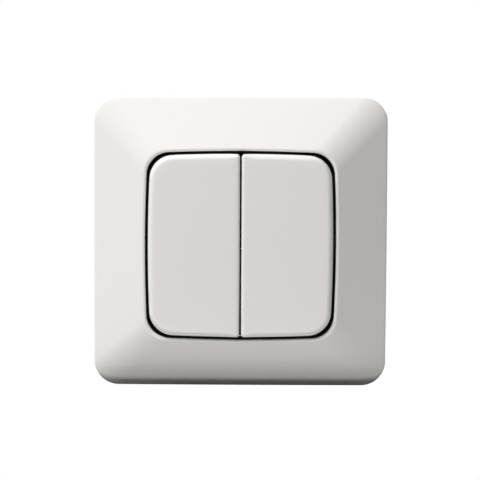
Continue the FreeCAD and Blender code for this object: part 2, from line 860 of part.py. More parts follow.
def contact_rocker(side):
    """The brass see-saw that rocks on the feed bar's knife edge."""
    half = rocker_width / 2
    front = rocker_level - rocker_front
    back = rocker_level + rocker_back
    plate = block(
        gang_x - half, gang_x + half, front, back, -rocker_length / 2, rocker_length / 2
    )
    depth = rocker_back + seat_clearance
    profile = [(rocker_level, 0), (rocker_level + depth, depth), (rocker_level + depth, -depth)]
    notch = prism_along_x(profile, gang_x - half, rocker_width)
    return mirrored(fulcrum(plate.cut(notch)), side)


def moving_contact(side):
    """The silver tip brazed to the back of the rocker's upper arm."""
    place = (gang_x, rocker_level + rocker_back, contact_arm)
    return mirrored(fulcrum(rod(contact_radius, place, (0, 1, 0), contact_height)), side)


def closed_contact_point():
    """(y, z) of the moving contact's face when the key is pressed, and how far its edge leads."""
    swing = math.radians(rocker_swing / 2)
    face = rocker_back + contact_height
    y = rocker_level + face * math.cos(swing) + contact_arm * math.sin(swing)
    z = contact_arm * math.cos(swing) - face * math.sin(swing)
    return y, z, contact_radius * math.sin(swing)


def fixed_contact(side):
    """The silver tip brazed to the load strip, where the moving contact closes on it."""
    y, z, lead = closed_contact_point()
    face = y + lead + running_clearance
    return mirrored(rod(contact_radius, (gang_x, face, z), (0, 1, 0), strip_front - face), side)


def tab_path(start_z):
    """The line of a strip that lies on the chamber's floor and turns back into a terminal cage."""
    middle = strip_front + strip_thickness / 2
    end = cage_front + cage_length - seat_clearance * 2
    return [(middle, start_z), (middle, tab_z), (end, tab_z)]


def load_strip(side):
    """The brass strip from a fixed contact to its upper terminal."""
    _, z, _ = closed_contact_point()
    path = tab_path(z - contact_radius - contact_margin)
    strip = bent_strip(path, strip_thickness, strip_width, "yz")
    strip.translate(Vector(gang_x, 0, 0))
    return mirrored(strip, side)


def feed_bar():
    """The common brass bar: a cross bar, two knife edges and two legs to the lower terminals."""
    half = strip_width / 2
    reach = gang_x + rocker_width / 2
    pieces = [block(-reach, reach, strip_front, strip_back, -half, half)]
    knife_half = knife_wall / 2
    tip = rocker_level + running_clearance
    shoulder = tip + knife_half / math.tan(math.radians(knife_half_angle))
    profile = [
        (tip, 0),
        (shoulder, knife_half),
        (strip_front, knife_half),
        (strip_front, -knife_half),
        (shoulder, -knife_half),
    ]
    for side in SIDES.values():
        leg = bent_strip(tab_path(0), strip_thickness, strip_width, "yz")
        leg.translate(Vector(gang_x, 0, 0))
        pieces.append(mirrored(flipped(leg, -1), side))
        pieces.append(prism_along_x(profile, side * gang_x - rocker_width / 2, rocker_width))
    return union(pieces)


def terminal_cage(side, level):
    """A brass cage round the end of a contact strip, threaded for its clamping screw."""
    half = cage_width / 2
    cage = block(
        gang_x - half, gang_x + half, cage_front, cage_front + cage_length, cage_inner_z, cage_outer_z
    )
    inside = half - cage_side_wall
    mouth = block(
        gang_x - inside,
        gang_x + inside,
        cage_front - cut_overrun,
        cage_front + cage_length + cut_overrun,
        cage_inner_z + cage_inner_wall,
        cage_outer_z - cage_outer_wall,
    )
    thread = rod(
        terminal_screw_radius + running_clearance,
        (gang_x, cage_middle, cage_outer_z - cage_outer_wall - cut_overrun),
        (0, 0, 1),
        cage_outer_wall + 2 * cut_overrun,
    )
    return mirrored(flipped(cage.cut([mouth, thread]), level), side)


def terminal_screws():
    """The four clamping screws, backed out so that a wire can go in."""
    screws = []
    shank_end = cage_outer_z - cage_outer_wall - seat_clearance * 4
    head_start = cage_outer_z + running_clearance
    for side in SIDES.values():
        for level in LEVELS.values():
            shank = rod(
                terminal_screw_radius,
                (gang_x, cage_middle, shank_end),
                (0, 0, 1),
                head_start - shank_end,
            )
            head = rod(
                terminal_head_radius,
                (gang_x, cage_middle, head_start),
                (0, 0, 1),
                terminal_head_height,
            )
            top = (gang_x, cage_middle, head_start + terminal_head_height)
            screw = union([shank, head]).cut(drive_slot(terminal_head_radius, top, (0, 0, -1)))
            screws.append(mirrored(flipped(screw, level), side))
    return Part.makeCompound(screws)


def assembly_screws():
    """The two screws that pull the cover on to the base, with the ring between them."""
    screws = []
    head_front = flange_front - assembly_head_height
    shank_length = assembly_screw_length - flange_front - seat_clearance
    for x, z in assembly_screw_places:
        head = rod(assembly_head_radius, (x, head_front, z), (0, 1, 0), assembly_head_height)
        shank = rod(assembly_screw_radius, (x, flange_front, z), (0, 1, 0), shank_length)
        slot = drive_slot(assembly_head_radius, (x, head_front, z), (0, 1, 0))
        screws.append(union([head, shank]).cut(slot))
    return Part.makeCompound(screws)


def claw_pivot():
    """(x, y) of the rounded front end that a claw turns on, in the groove behind the ring."""
    x = base_width / 2 - claw_groove + seat_clearance * 1.5 + claw_sheet / 2
    return x, claw_sheet / 2 + seat_clearance * 1.5


def claw(side):
    """A bent steel claw: leg, threaded tab and toothed edge."""
    x, y = claw_pivot()
    tab_y = y + claw_leg
    bend_x = claw_screw_x + claw_screw_radius + claw_sheet
    angle = math.radians(claw_tooth_angle)
    tooth_end = (
        bend_x + claw_tooth_reach * math.cos(angle),
        tab_y + claw_tooth_reach * math.sin(angle),
    )
    path = [(x, y), (x, tab_y), (bend_x, tab_y), tooth_end]
    sheet = bent_strip(path, claw_sheet, claw_width, "xy")
    end = rod(claw_sheet / 2, (x, y, -claw_width / 2), (0, 0, 1), claw_width)
    hole = rod(
        claw_screw_radius + claw_tab_clearance,
        (claw_screw_x, tab_y - claw_sheet, 0),
        (0, 1, 0),
        claw_sheet * 2,
    )
    pitch = claw_width / claw_teeth
    gap_x = bend_x + claw_tooth_reach * claw_gap_start
    gap_end = tooth_end[0] + 2 * cut_overrun
    flare = pitch * claw_gap_flare
    gaps = []
    for gap in range(claw_teeth + 1):
        z = -claw_width / 2 + gap * pitch
        points = [Vector(gap_end, 0, z - flare), Vector(gap_x, 0, z), Vector(gap_end, 0, z + flare)]
        face = Part.Face(Part.makePolygon(points + points[:1]))
        gaps.append(face.extrude(Vector(0, base_depth, 0)))
    return mirrored(union([sheet, end]).cut([hole, *gaps]), side)


def claw_screw(side):
    """The long screw that pulls a claw outwards. Its head stands off the ring until it is tightened."""
    head_back = ring_front - claw_head_lift
    length = claw_pivot()[1] + claw_leg + claw_screw_stand_out - head_back
    shank = rod(claw_screw_radius, (claw_screw_x, head_back, 0), (0, 1, 0), length)
    head_front = head_back - claw_head_height
    head = rod(claw_head_radius, (claw_screw_x, head_front, 0), (0, 1, 0), claw_head_height)
    slot = drive_slot(claw_head_radius, (claw_screw_x, head_front, 0), (0, 1, 0))
    return mirrored(union([shank, head]).cut(slot), side)


def pieces():
    """Every piece of the switch by its node's name."""
    made = {
        "cover_frame": cover_frame(),
        "mechanism_cover": mechanism_cover(),
        "support_ring": support_ring(),
        "switch_base": switch_base(),
        "feed_bar": feed_bar(),
        "terminal_screws": terminal_screws(),
        "assembly_screws": assembly_screws(),
    }
    by_side = {
        "key": key,
        "yoke": yoke,
        "plunger": plunger,
        "plunger_spring": plunger_spring,
        "return_spring": return_spring,
        "contact_rocker": contact_rocker,
        "moving_contact": moving_contact,
        "fixed_contact": fixed_contact,
        "load_strip": load_strip,
        "claw": claw,
        "claw_screw": claw_screw,
    }
    for side_name, side in SIDES.items():
        for name, make in by_side.items():
            made[f"{side_name}_{name}"] = make(side)
        for level_name, level in LEVELS.items():
            made[f"{level_name}_{side_name}_terminal"] = terminal_cage(side, level)
    return made


def main():
    os.makedirs("parts", exist_ok=True)
    for name, shape in pieces().items():
        shape.exportStep(os.path.join("parts", f"{name}.step"))


main()
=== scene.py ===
"""Looks of a flush double push button light switch: skins, edges, coils, threads, finishes and light.

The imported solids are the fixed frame. Lengths are in metres unless a name or a comment says
millimetres. +Z is up, +X to the right as the switch is looked at, and the keys face -Y.
"""

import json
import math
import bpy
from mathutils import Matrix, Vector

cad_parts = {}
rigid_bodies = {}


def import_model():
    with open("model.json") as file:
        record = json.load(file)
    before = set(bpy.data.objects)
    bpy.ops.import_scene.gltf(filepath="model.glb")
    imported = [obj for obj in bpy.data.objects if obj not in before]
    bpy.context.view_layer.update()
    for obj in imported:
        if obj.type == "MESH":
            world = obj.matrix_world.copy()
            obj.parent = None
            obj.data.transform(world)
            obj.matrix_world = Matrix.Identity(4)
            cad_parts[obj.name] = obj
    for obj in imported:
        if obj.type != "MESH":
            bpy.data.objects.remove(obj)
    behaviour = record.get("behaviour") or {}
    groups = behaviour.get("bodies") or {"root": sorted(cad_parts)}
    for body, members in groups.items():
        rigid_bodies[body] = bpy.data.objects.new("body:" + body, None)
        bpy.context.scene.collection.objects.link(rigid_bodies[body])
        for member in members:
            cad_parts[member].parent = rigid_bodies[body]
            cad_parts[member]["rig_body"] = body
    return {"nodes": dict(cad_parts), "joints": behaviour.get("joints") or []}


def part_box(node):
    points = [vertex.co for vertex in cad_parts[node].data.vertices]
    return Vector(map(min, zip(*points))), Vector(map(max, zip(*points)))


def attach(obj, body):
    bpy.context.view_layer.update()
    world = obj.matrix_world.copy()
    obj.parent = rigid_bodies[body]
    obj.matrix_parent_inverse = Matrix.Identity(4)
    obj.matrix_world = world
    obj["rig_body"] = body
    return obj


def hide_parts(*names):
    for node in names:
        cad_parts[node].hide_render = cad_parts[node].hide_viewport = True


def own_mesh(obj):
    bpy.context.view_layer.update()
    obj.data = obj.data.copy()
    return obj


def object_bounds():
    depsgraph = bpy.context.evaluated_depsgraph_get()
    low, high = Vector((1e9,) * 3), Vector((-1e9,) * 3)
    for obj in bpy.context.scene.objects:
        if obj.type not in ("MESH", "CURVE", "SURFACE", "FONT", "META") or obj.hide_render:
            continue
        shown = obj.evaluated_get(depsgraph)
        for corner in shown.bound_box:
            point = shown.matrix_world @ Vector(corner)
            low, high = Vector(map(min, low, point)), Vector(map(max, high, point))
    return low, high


bl_info = {
    "name": "Push Button Light Switch",
    "version": (1, 0, 0),
    "blender": (4, 5, 0),
    "location": "3D View > Sidebar > Light Switch",
    "description": "Builds the visible pieces and finishes of a flush double push button light switch",
    "category": "Object",
}

from functools import cache

import bmesh
import bpy
from bpy.props import FloatProperty, FloatVectorProperty, PointerProperty
from mathutils import Matrix, Vector

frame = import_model()
cad_low, cad_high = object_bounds()

MM = 0.001
SIDES = {"left": -1, "right": 1}
LEVELS = {"upper": 1, "lower": -1}
ACROSS, INWARDS, UP = Vector((1, 0, 0)), Vector((0, 1, 0)), Vector((0, 0, 1))


# Sizes, colours and settings


def linear(code):
    """A hex sRGB colour as linear red, green and blue."""
    channels = [int(code[i : i + 2], 16) / 255 for i in (1, 3, 5)]
    return [c / 12.92 if c <= 0.04045 else ((c + 0.055) / 1.055) ** 2.4 for c in channels]


def number(name, description, default, unit="NONE"):
    """A number that can be changed in the sidebar."""
    return FloatProperty(name=name, description=description, default=default, precision=5, unit=unit)


def size(name, description, millimetres):
    """A length in the sidebar, with its default given in millimetres."""
    return number(name, description, millimetres * MM, "LENGTH")


def colour(name, description, code):
    """A colour in the sidebar, with its default given as a hex sRGB value."""
    return FloatVectorProperty(
        name=name, description=description, default=linear(code), min=0, max=1, subtype="COLOR"
    )


class FrameSizes(bpy.types.PropertyGroup):
    """Sizes of the cover frame."""

    half: size("Half width", "From the middle of the frame to its rim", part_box("cover_frame")[1].x / MM)
    depth: size("Depth", "From the wall to where the bevel would meet the opening", 11.0)
    rim: size("Rim", "Height of the upright rim at the wall", 3.0)
    corner: size("Corner", "Radius of the frame's outer corners", 6.8)
    wall: size("Wall", "Thickness of the shell", 2.0)
    rim_radius: size("Rim radius", "Rounding where the rim turns into the bevel", 0.8)
    opening_half: size("Half opening", "From the middle to the opening's side", 26.25)
    opening_corner: size("Opening corner", "Radius of the opening's corners", 6.3)
    opening_bow: size("Opening bow", "Radius of the opening's slightly bowed sides", 456.0)
    opening_radius: size("Opening radius", "Rounding of the opening's edge", 0.6)
    collar: size("Collar", "Wall of the collar behind the opening", 1.5)
    notch_half: size("Half notch", "Half the width of the notches for the box screws", 4.5)
    notch_height: size("Notch height", "Height of those notches", 3.6)


class KeySizes(bpy.types.PropertyGroup):
    """Sizes of the push keys."""

    clearance: size("Clearance", "Between the keys and the frame's opening", 0.75)
    middle_clearance: size("Middle clearance", "Between the two keys", 0.45)
    corner: size("Corner", "Radius of the keys' outer corners", 6.7)
    inner_corner: size("Inner corner", "Radius of the keys' corners at the middle clearance", 0.9)
    edge: size("Edge", "Rounding of the keys' outer edges", 1.5)
    inner_edge: size("Inner edge", "Rounding of the keys' edges at the middle clearance", 0.85)
    edge_blend: size("Edge blend", "Distance over which the two roundings pass into each other", 4.0)
    front_bow: size("Front bow", "Radius of the keys' slightly domed fronts", 900.0)
    front_wall: size("Front wall", "Thickness of the keys' fronts", 2.3)
    skirt_wall: size("Skirt wall", "Thickness of the keys' skirts", 1.5)
    gate: size("Gate mark", "Radius of the moulding gate's mark on the right key", 0.22)


class HardwareSizes(bpy.types.PropertyGroup):
    """Sizes of the screws and springs."""

    claw_screw: size("Claw screw", "Radius of the claw screws over their thread", 1.5)
    claw_head: size("Claw screw head", "Height of their heads", 1.8)
    terminal_screw: size("Terminal screw", "Radius of the terminal screws over their thread", 1.5)
    terminal_head: size("Terminal screw head", "Height of their heads", 1.3)
    assembly_screw: size("Assembly screw", "Radius of the assembly screws over their thread", 1.2)
    assembly_head: size("Assembly screw head", "Height of their heads", 1.3)
    assembly_head_radius: size("Assembly head radius", "Radius of their heads", 2.1)
    cage_reach: size("Cage reach", "How far the terminal screws reach into their cages", 1.9)
    head_edge: size("Head edge", "Rounding of the screws' heads", 0.25)
    slot_width: size("Slot width", "Width of the screwdriver slots", 0.8)
    slot_depth: size("Slot depth", "Depth of the screwdriver slots", 0.7)
    thread_pitch: size("Thread pitch", "Distance from turn to turn of the threads", 0.5)
    thread_depth: size("Thread depth", "From the crest of a thread to its root", 0.27)
    return_wire: size("Return wire", "Wire of the return springs", 0.5)
    return_radius: size("Return radius", "From the return springs' axis to their wire's middle", 2.2)
    plunger_wire: size("Plunger wire", "Wire of the plungers' springs", 0.4)
    plunger_radius: size("Plunger radius", "From the plunger springs' axis to their wire's middle", 1.35)


class Finishes(bpy.types.PropertyGroup):
    """Colours and edge roundings of the switch's materials."""

    gloss_white: colour("Gloss white", "Polished moulded plastic of the frame and keys", "#EFEDEB")
    # The zinc behind the clearances is drawn dark as painted shade
    dull_zinc: colour("Dull zinc", "Zinc plate where it lies behind the clearances", "#303132")
    # The walls of the clearances are white ABS drawn dark grey as painted shade
    clearance_painted_shade: colour("Clearance painted shade", "Plastic on the walls of the clearances, unpolished and drawn dark as painted shade", "#4C4C4B")
    carrier_white: colour("Carrier white", "Natural polyamide of the yokes and plungers", "#E2DFD6")
    grey_insert: colour("Insert grey", "Moulded insert behind the keys", "#333538")
    zinc_steel: colour("Zinc", "Zinc plate on the ring, claws and screws", "#C3C6C8")
    spring_steel: colour("Spring steel", "Drawn wire of the springs", "#9A9C9E")
    brass: colour("Brass", "Strips, rockers and terminals", "#D4B36A")
    silver: colour("Silver", "Contact tips", "#DEDEDA")
    moulded_edge: size("Moulded edge", "Rounding on the edges of the hidden mouldings", 0.12)
    stamped_edge: size("Stamped edge", "Rounding on the edges of the hidden metal pieces", 0.06)


class StageSettings(bpy.types.PropertyGroup):
    """Floor, card, light and camera."""

    floor_drop: size("Floor drop", "How far the floor lies below the switch's middle", 300.0)
    floor_radius: size("Floor radius", "From the floor's middle to its rim", 480.0)
    card_width: size("Card width", "Width of the dark card that shades the frame's lower edge", 90.0)
    card_depth: size("Card depth", "How far that card reaches forwards from the wall", 10.5)
    card_drop: size("Card drop", "Clearance between that card and the frame", 0.8)
    camera_distance: size("Camera distance", "From the camera to the switch", 1083.0)
    camera_lens: number("Lens", "Focal length of the camera", 294.0, "CAMERA")
    camera_elevation: number("Elevation", "Camera angle above the level", math.radians(9), "ROTATION")
    camera_roll: number("Roll", "Camera tilt about its own axis", math.radians(0.3), "ROTATION")
    upper_power: number("Upper softbox", "Power of the softbox above on the left", 27.8, "POWER")
    low_power: number("Low fill", "Power of the long softbox below", 6.4, "POWER")
    back_power: number("Back softbox", "Power of the softbox behind", 9.0, "POWER")
    sky: number("Sky", "Strength of the even light from all round", 0.13)


class SwitchSettings(bpy.types.PropertyGroup):
    """Everything that can be changed, in five groups."""

    frame: PointerProperty(type=FrameSizes)
    keys: PointerProperty(type=KeySizes)
    hardware: PointerProperty(type=HardwareSizes)
    finishes: PointerProperty(type=Finishes)
    stage: PointerProperty(type=StageSettings)


def settings():
    """All the settings of the scene's switch."""
    return bpy.context.scene.light_switch


# Materials

EVEN = (1, 1, 1)
NOISE_RANGE = (0.3, 0.7)  # where most of a noise's values lie


def add_node(tree, kind, inputs=None, **options):
    """Adds a node, sets its options, and gives its sockets values or other nodes' outputs."""
    node = tree.nodes.new(kind)
    for name, value in options.items():
        setattr(node, name, value)
    for name, value in (inputs or {}).items():
        if isinstance(value, bpy.types.NodeSocket):
            tree.links.new(value, node.inputs[name])
        else:
            node.inputs[name].default_value = value
    return node


def new_material(name):
    """An empty node material, with its node tree."""
    material = bpy.data.materials.new(name)
    material.use_nodes = True
    material.node_tree.nodes.clear()
    return material, material.node_tree


def patterned_material(name, rgb, patterns, roughness, relief, spread, **fixed):
    """A material whose relief, shine and tone each follow a cloudy pattern of their own.

    A pattern is the size of its features in millimetres, how much closer they lie along X, Y and Z,
    and its detail. Roughness is the shine's range, relief is a depth in millimetres, and spread is
    how much lighter and darker the colour grows.
    """
    material, tree = new_material(name)
    place = add_node(tree, "ShaderNodeTexCoord").outputs["Object"]
    values = {}
    for use, (features, closer, detail) in patterns.items():
        drawn = add_node(tree, "ShaderNodeMapping", {"Vector": place, "Scale": closer}).outputs["Vector"]
        inputs = {"Vector": drawn, "Scale": 1 / (features * MM), "Detail": detail}
        values[use] = add_node(tree, "ShaderNodeTexNoise", inputs).outputs["Fac"]

    tone = add_node(tree, "ShaderNodeValToRGB", {"Fac": values["tone"]})
    for stop, at, strength in zip(tone.color_ramp.elements, NOISE_RANGE, (1 - spread, 1 + spread)):
        stop.position = at
        stop.color = [min(c * strength, 1) for c in rgb] + [1]

    names = ("From Min", "From Max", "To Min", "To Max")
    limits = dict(zip(names, NOISE_RANGE + roughness))
    shine = add_node(tree, "ShaderNodeMapRange", {"Value": values["shine"], **limits})

    inputs = {"Height": values["relief"], "Strength": 1.0, "Distance": relief * MM}
    bump = add_node(tree, "ShaderNodeBump", inputs)

    inputs = {
        "Base Color": tone.outputs["Color"],
        "Roughness": shine.outputs["Result"],
        "Normal": bump.outputs["Normal"],
        **fixed,
    }
    shader = add_node(tree, "ShaderNodeBsdfPrincipled", inputs)
    add_node(tree, "ShaderNodeOutputMaterial", {"Surface": shader.outputs["BSDF"]})
    return material


def moulded_plastic(name, rgb, roughness, grain, relief, spread):
    """Injection-moulded plastic.

    A polished mould leaves a clear, slightly rippled shine, a spark-eroded one a fine dull grain.
    Real grain is about 0.05 mm wide, and is drawn some ten times as coarse so that it shows.
    """
    patterns = {"relief": (grain, EVEN, 2), "shine": (grain * 3, EVEN, 2), "tone": (grain * 9, EVEN, 2)}
    return patterned_material(name, rgb, patterns, roughness, relief, spread, IOR=1.5)


def worked_metal(name, rgb, roughness, grain, closer, relief, spread):
    """Rolled, drawn or plated metal.

    Its shine is broken by fine marks that lie closer one way than the others. Real marks are a few
    hundredths of a millimetre wide, and are drawn some ten times as coarse so that they show.
    """
    tone = (grain * 12, EVEN, 2)
    patterns = {"relief": (grain, closer, 4), "shine": (grain * 2, closer, 2), "tone": tone}
    return patterned_material(name, rgb, patterns, roughness, relief, spread, Metallic=1.0)


# Name, roughness from and to, grain, relief and spread
PLASTICS = {
    # Polished ABS: a bright, even white with soft-edged reflections
    "gloss_white": ("polished white ABS", (0.255, 0.265), 1.0, 0.00008, 0.0005),
    # ABS on the clearance walls: dull, and drawn dark grey as painted shade, because hardly any light gets
    # into the clearances
    "clearance_painted_shade": ("unpolished ABS", (0.5, 0.6), 0.6, 0.004, 0.02),
    # Natural polyamide: slightly warm and waxy, duller than the frame
    "carrier_white": ("natural polyamide", (0.42, 0.55), 0.5, 0.006, 0.03),
    # Glass-filled polyamide: dark, dull and faintly speckled
    "grey_insert": ("glass-filled polyamide", (0.45, 0.62), 0.4, 0.012, 0.12),
}
# The same, with how much closer the marks lie along X, Y and Z after the grain
METALS = {
    # Zinc plate on stamped steel: pale grey with a fine rolled grain
    "zinc_steel": ("zinc-plated steel", (0.26, 0.42), 0.5, (1, 1, 6), 0.004, 0.07),
    # The same plate behind the clearances: duller, and drawn dark as painted shade, because hardly any
    # light gets in there
    "dull_zinc": ("dull zinc-plated steel", (0.5, 0.6), 0.5, (1, 1, 6), 0.004, 0.04),
    # Drawn spring wire: darker, with long fine draw marks
    "spring_steel": ("drawn spring steel", (0.22, 0.34), 0.25, (1, 4, 1), 0.002, 0.06),
    # Rolled brass: yellow, satin, slightly uneven from handling
    "brass": ("rolled brass", (0.2, 0.36), 0.45, (1, 5, 1), 0.003, 0.08),
    # Silver contact alloy: the brightest metal here, softly pressed
    "silver": ("silver contact alloy", (0.18, 0.3), 0.3, EVEN, 0.003, 0.04),
}


@cache
def materials():
    """The switch's materials by the name of the finish, made once."""
    colours = settings().finishes
    made = {}
    for make, looks in ((moulded_plastic, PLASTICS), (worked_metal, METALS)):
        for finish, (name, *look) in looks.items():
            made[finish] = make(name, getattr(colours, finish), *look)
    return made


# Outlines and meshes

SIDE_STEPS = 26
CORNER_STEPS = 18
MERGE = 0.001 * MM
FLAT_ANGLE = math.radians(1)
SHARP_ANGLE = math.radians(35)


def blend(start, end, share):
    """A value between two others."""
    return start + (end - start) * share


def walk(arcs):
    """Points and outward directions (x, z, nx, nz) along a closed chain of arcs.

    An arc is its centre's x and z, its radius, the angles from which and to which it runs, clockwise
    from +Z, and how many edges it gets.
    """
    points = []
    for cx, cz, radius, start, end, steps in arcs:
        for step in range(steps):
            turn = start + (end - start) * step / steps
            nx, nz = math.sin(turn), math.cos(turn)
            points.append((cx + radius * nx, cz + radius * nz, nx, nz))
    return points


def corner_place(half, corner, bow):
    """Where a corner arc is centred, where a side's arc is centred, and the angle where they meet."""
    side_centre = bow - half
    run = bow - corner
    place = (math.sqrt(2 * run**2 - side_centre**2) - side_centre) / 2
    return place, side_centre, math.asin(place / run)


def square_outline(half, corner, bow):
    """A closed outline of four bowed sides joined by tangent corner arcs, from the top's left end."""
    c, side_centre, lean = corner_place(half, corner, bow)
    arcs = []
    for turn in range(4):
        ahead = turn * math.pi / 2
        up = Vector((math.sin(ahead), math.cos(ahead)))
        across = Vector((math.cos(ahead), -math.sin(ahead)))
        side = -side_centre * up
        tip = c * (up + across)
        arcs.append((side.x, side.y, bow, ahead - lean, ahead + lean, SIDE_STEPS))
        arcs.append((tip.x, tip.y, corner, ahead + lean, ahead + math.pi / 2 - lean, CORNER_STEPS))
    return walk(arcs)


def ring_edges(bm, verts):
    """The edges of a closed ring of vertices."""
    return [bm.edges.get(pair) for pair in zip(verts, verts[1:] + verts[:1])]


def add_ring(bm, points, fill):
    """A ring of vertices on points, from a circle. It gets a face if it is to be filled."""
    ring = bmesh.ops.create_circle(bm, cap_ends=fill, radius=1, segments=len(points))["verts"]
    for vert, point in zip(ring, points):
        vert.co = point
    return ring


def loft(bm, sections):
    """A wall through sections of equally many points. Returns its first and last ring of vertices."""
    first = ring = add_ring(bm, sections[0], fill=False)
    for points in sections[1:]:
        made = bmesh.ops.extrude_edge_only(bm, edges=ring_edges(bm, ring))["geom"]
        fresh = {item for item in made if isinstance(item, bmesh.types.BMVert)}
        ring = [
            next(other for edge in vert.link_edges if (other := edge.other_vert(vert)) in fresh)
            for vert in ring
        ]
        for vert, point in zip(ring, points):
            vert.co = point
    return first, ring


def add_block(bm, low, high):
    """A box between two corners. Returns its vertices."""
    low, high = Vector(low), Vector(high)
    verts = bmesh.ops.create_cube(bm, size=1)["verts"]
    bmesh.ops.scale(bm, verts=verts, vec=high - low)
    bmesh.ops.translate(bm, verts=verts, vec=(low + high) / 2)
    return verts


def cut_plane(bm, axis, reach):
    """Divides every face that a plane crosses, which stands square to an axis at a reach along it."""
    geom = bm.verts[:] + bm.edges[:] + bm.faces[:]
    bmesh.ops.bisect_plane(bm, geom=geom, dist=MERGE, plane_co=axis * reach, plane_no=axis)


def wind(bm, geom, angle, steps, rise=0, close=False):
    """Turns an outline about +Y, and lifts it at each step. Returns its last copy."""
    wound = bmesh.ops.spin(
        bm, geom=geom, cent=(0, 0, 0), axis=INWARDS, dvec=INWARDS * rise, angle=angle, steps=steps,
        use_merge=close, use_duplicate=False,
    )
    return wound["geom_last"]


def fill_end(bm, geom):
    """Closes the end of a wound shape with one face."""
    bmesh.ops.contextual_create(bm, geom=[item for item in geom if isinstance(item, bmesh.types.BMEdge)])


def aim(bm, place, direction):
    """Turns a shape that was made along +Y to another direction, and puts its start in its place."""
    turn = INWARDS.rotation_difference(direction).to_matrix()
    bmesh.ops.rotate(bm, verts=bm.verts, cent=(0, 0, 0), matrix=turn)
    bmesh.ops.translate(bm, verts=bm.verts, vec=place)


def face_outwards(bm):
    """Turns the faces of closed shapes outwards."""
    bmesh.ops.recalc_face_normals(bm, faces=bm.faces)


def to_mesh(name, bm):
    """A new mesh from a bmesh, which is used up."""
    mesh = bpy.data.meshes.new(name)
    bm.to_mesh(mesh)
    bm.free()
    return mesh


def link_object(name, data):
    """An object in the scene for a mesh, a lamp or a camera."""
    made = bpy.data.objects.new(name, data)
    bpy.context.scene.collection.objects.link(made)
    return made


def make_piece(name, bm, finish, node, crease=40):
    """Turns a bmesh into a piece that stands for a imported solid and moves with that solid's body.

    Edges that turn by more than the crease, in degrees, aren't shaded smooth.
    """
    mesh = to_mesh(name, bm)
    mesh.shade_smooth()
    mesh.set_sharp_from_angle(angle=math.radians(crease))
    mesh.materials.append(materials()[finish])
    piece = link_object(name, mesh)
    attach(piece, frame["nodes"][node]["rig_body"])
    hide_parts(node)
    return piece


def rounded_copy(node, edge):
    """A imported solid's mesh, with its loose triangles merged and its sharp edges rounded."""
    bm = bmesh.new()
    bm.from_mesh(frame["nodes"][node].data)
    bmesh.ops.remove_doubles(bm, verts=bm.verts, dist=MERGE)
    bmesh.ops.dissolve_limit(bm, angle_limit=FLAT_ANGLE, verts=bm.verts, edges=bm.edges)
    sharp = [e for e in bm.edges if len(e.link_faces) == 2 and e.calc_face_angle() > SHARP_ANGLE]
    bmesh.ops.bevel(
        bm, geom=sharp, offset=edge, offset_type="OFFSET", segments=2, profile=0.5, affect="EDGES",
        material=-1, clamp_overlap=True,
    )
    return bm


def round_solids(finishes, edge, ending):
    """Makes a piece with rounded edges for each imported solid, in its finish."""
    for node, finish in finishes.items():
        make_piece(f"{node}_{ending}", rounded_copy(node, edge), finish, node)


# Clearances round the keys

CLEARANCE_LIT = 0.7 * MM  # how deep light gets into them
MIDDLE_REACH = 1.3 * MM  # how far from the middle the walls of the middle one lie at most
UPRIGHT = 0.2  # the normal of a wall points less than this along Y


def paint_shade_on_faces(piece, finish, inside):
    """Gives the faces that pass a test, which are those in a clearance, a second material that paints shade
    on them.
    """
    piece.data.materials.append(materials()[finish])
    for face in piece.data.polygons:
        if inside(face):
            face.material_index = 1


def reach_of(face):
    """How far a face lies from the middle, across or up."""
    return max(abs(face.center.x), abs(face.center.z))


def opening_reach(collars):
    """From the middle to a place in the opening's collar, given as a share of its wall."""
    sizes = settings().frame
    return sizes.opening_half + sizes.collar * collars


# Cover frame

RIM_STEPS = 5
BEVEL_STEPS = 14
MOUTH_STEPS = 6
CEILING_STEPS = 6
RIM_BOW = 9.0  # radius of the rim's sides, which look straight
RIB_HALF = 0.6 * MM
RIB_CLEARANCE = 0.4 * MM
LATCH_X = 7.5 * MM
LATCH_HALF = 2.5 * MM
LATCH_WALL = 1.0 * MM
LATCH_END = 1.2 * MM
LATCH_CATCH = 0.7 * MM
LATCH_LEAD = 0.2 * MM
LATCH_CLEARANCE = 0.1 * MM


def bevel(sizes):
    """The bevel's run from rim to opening, and its slope."""
    run = sizes.half - sizes.opening_half
    return run, (sizes.depth - sizes.rim) / run


def skin_profile(sizes):
    """(inset, climb) points of the outer skin: rim, its rounded edge, straight bevel, rounded mouth."""
    run, slope = bevel(sizes)
    rim_turn = math.pi / 2 - math.atan(slope)
    rim_tangent = sizes.rim_radius * math.tan(rim_turn / 2)
    mouth_turn = math.pi / 2 + math.atan(slope)
    mouth_tangent = sizes.opening_radius * math.tan(mouth_turn / 2)
    profile = [(0, 0)]
    for step in range(RIM_STEPS + 1):
        turn = rim_turn * step / RIM_STEPS
        climb = sizes.rim - rim_tangent + sizes.rim_radius * math.sin(turn)
        profile.append((sizes.rim_radius * (1 - math.cos(turn)), climb))
    for step in range(1, BEVEL_STEPS):
        inset = run * step / BEVEL_STEPS
        profile.append((inset, sizes.rim + slope * inset))
    for step in range(MOUTH_STEPS + 1):
        turn = mouth_turn * (step / MOUTH_STEPS - 1)
        inset = run - sizes.opening_radius * (1 - math.cos(turn))
        profile.append((inset, sizes.depth - mouth_tangent - sizes.opening_radius * math.sin(turn)))
    return profile


def frame_ring(half, corner, curve, climb, sizes=None):
    """A section of the frame at one distance off the wall.

    Given the sizes, it is lifted where the heads of the box screws need room.
    """
    ring = []
    for x, z, _, _ in square_outline(half, corner, 1 / curve):
        notched = sizes and min(abs(x), abs(z)) < sizes.notch_half
        ring.append((x, -climb - (sizes.notch_height if notched else 0), z))
    return ring


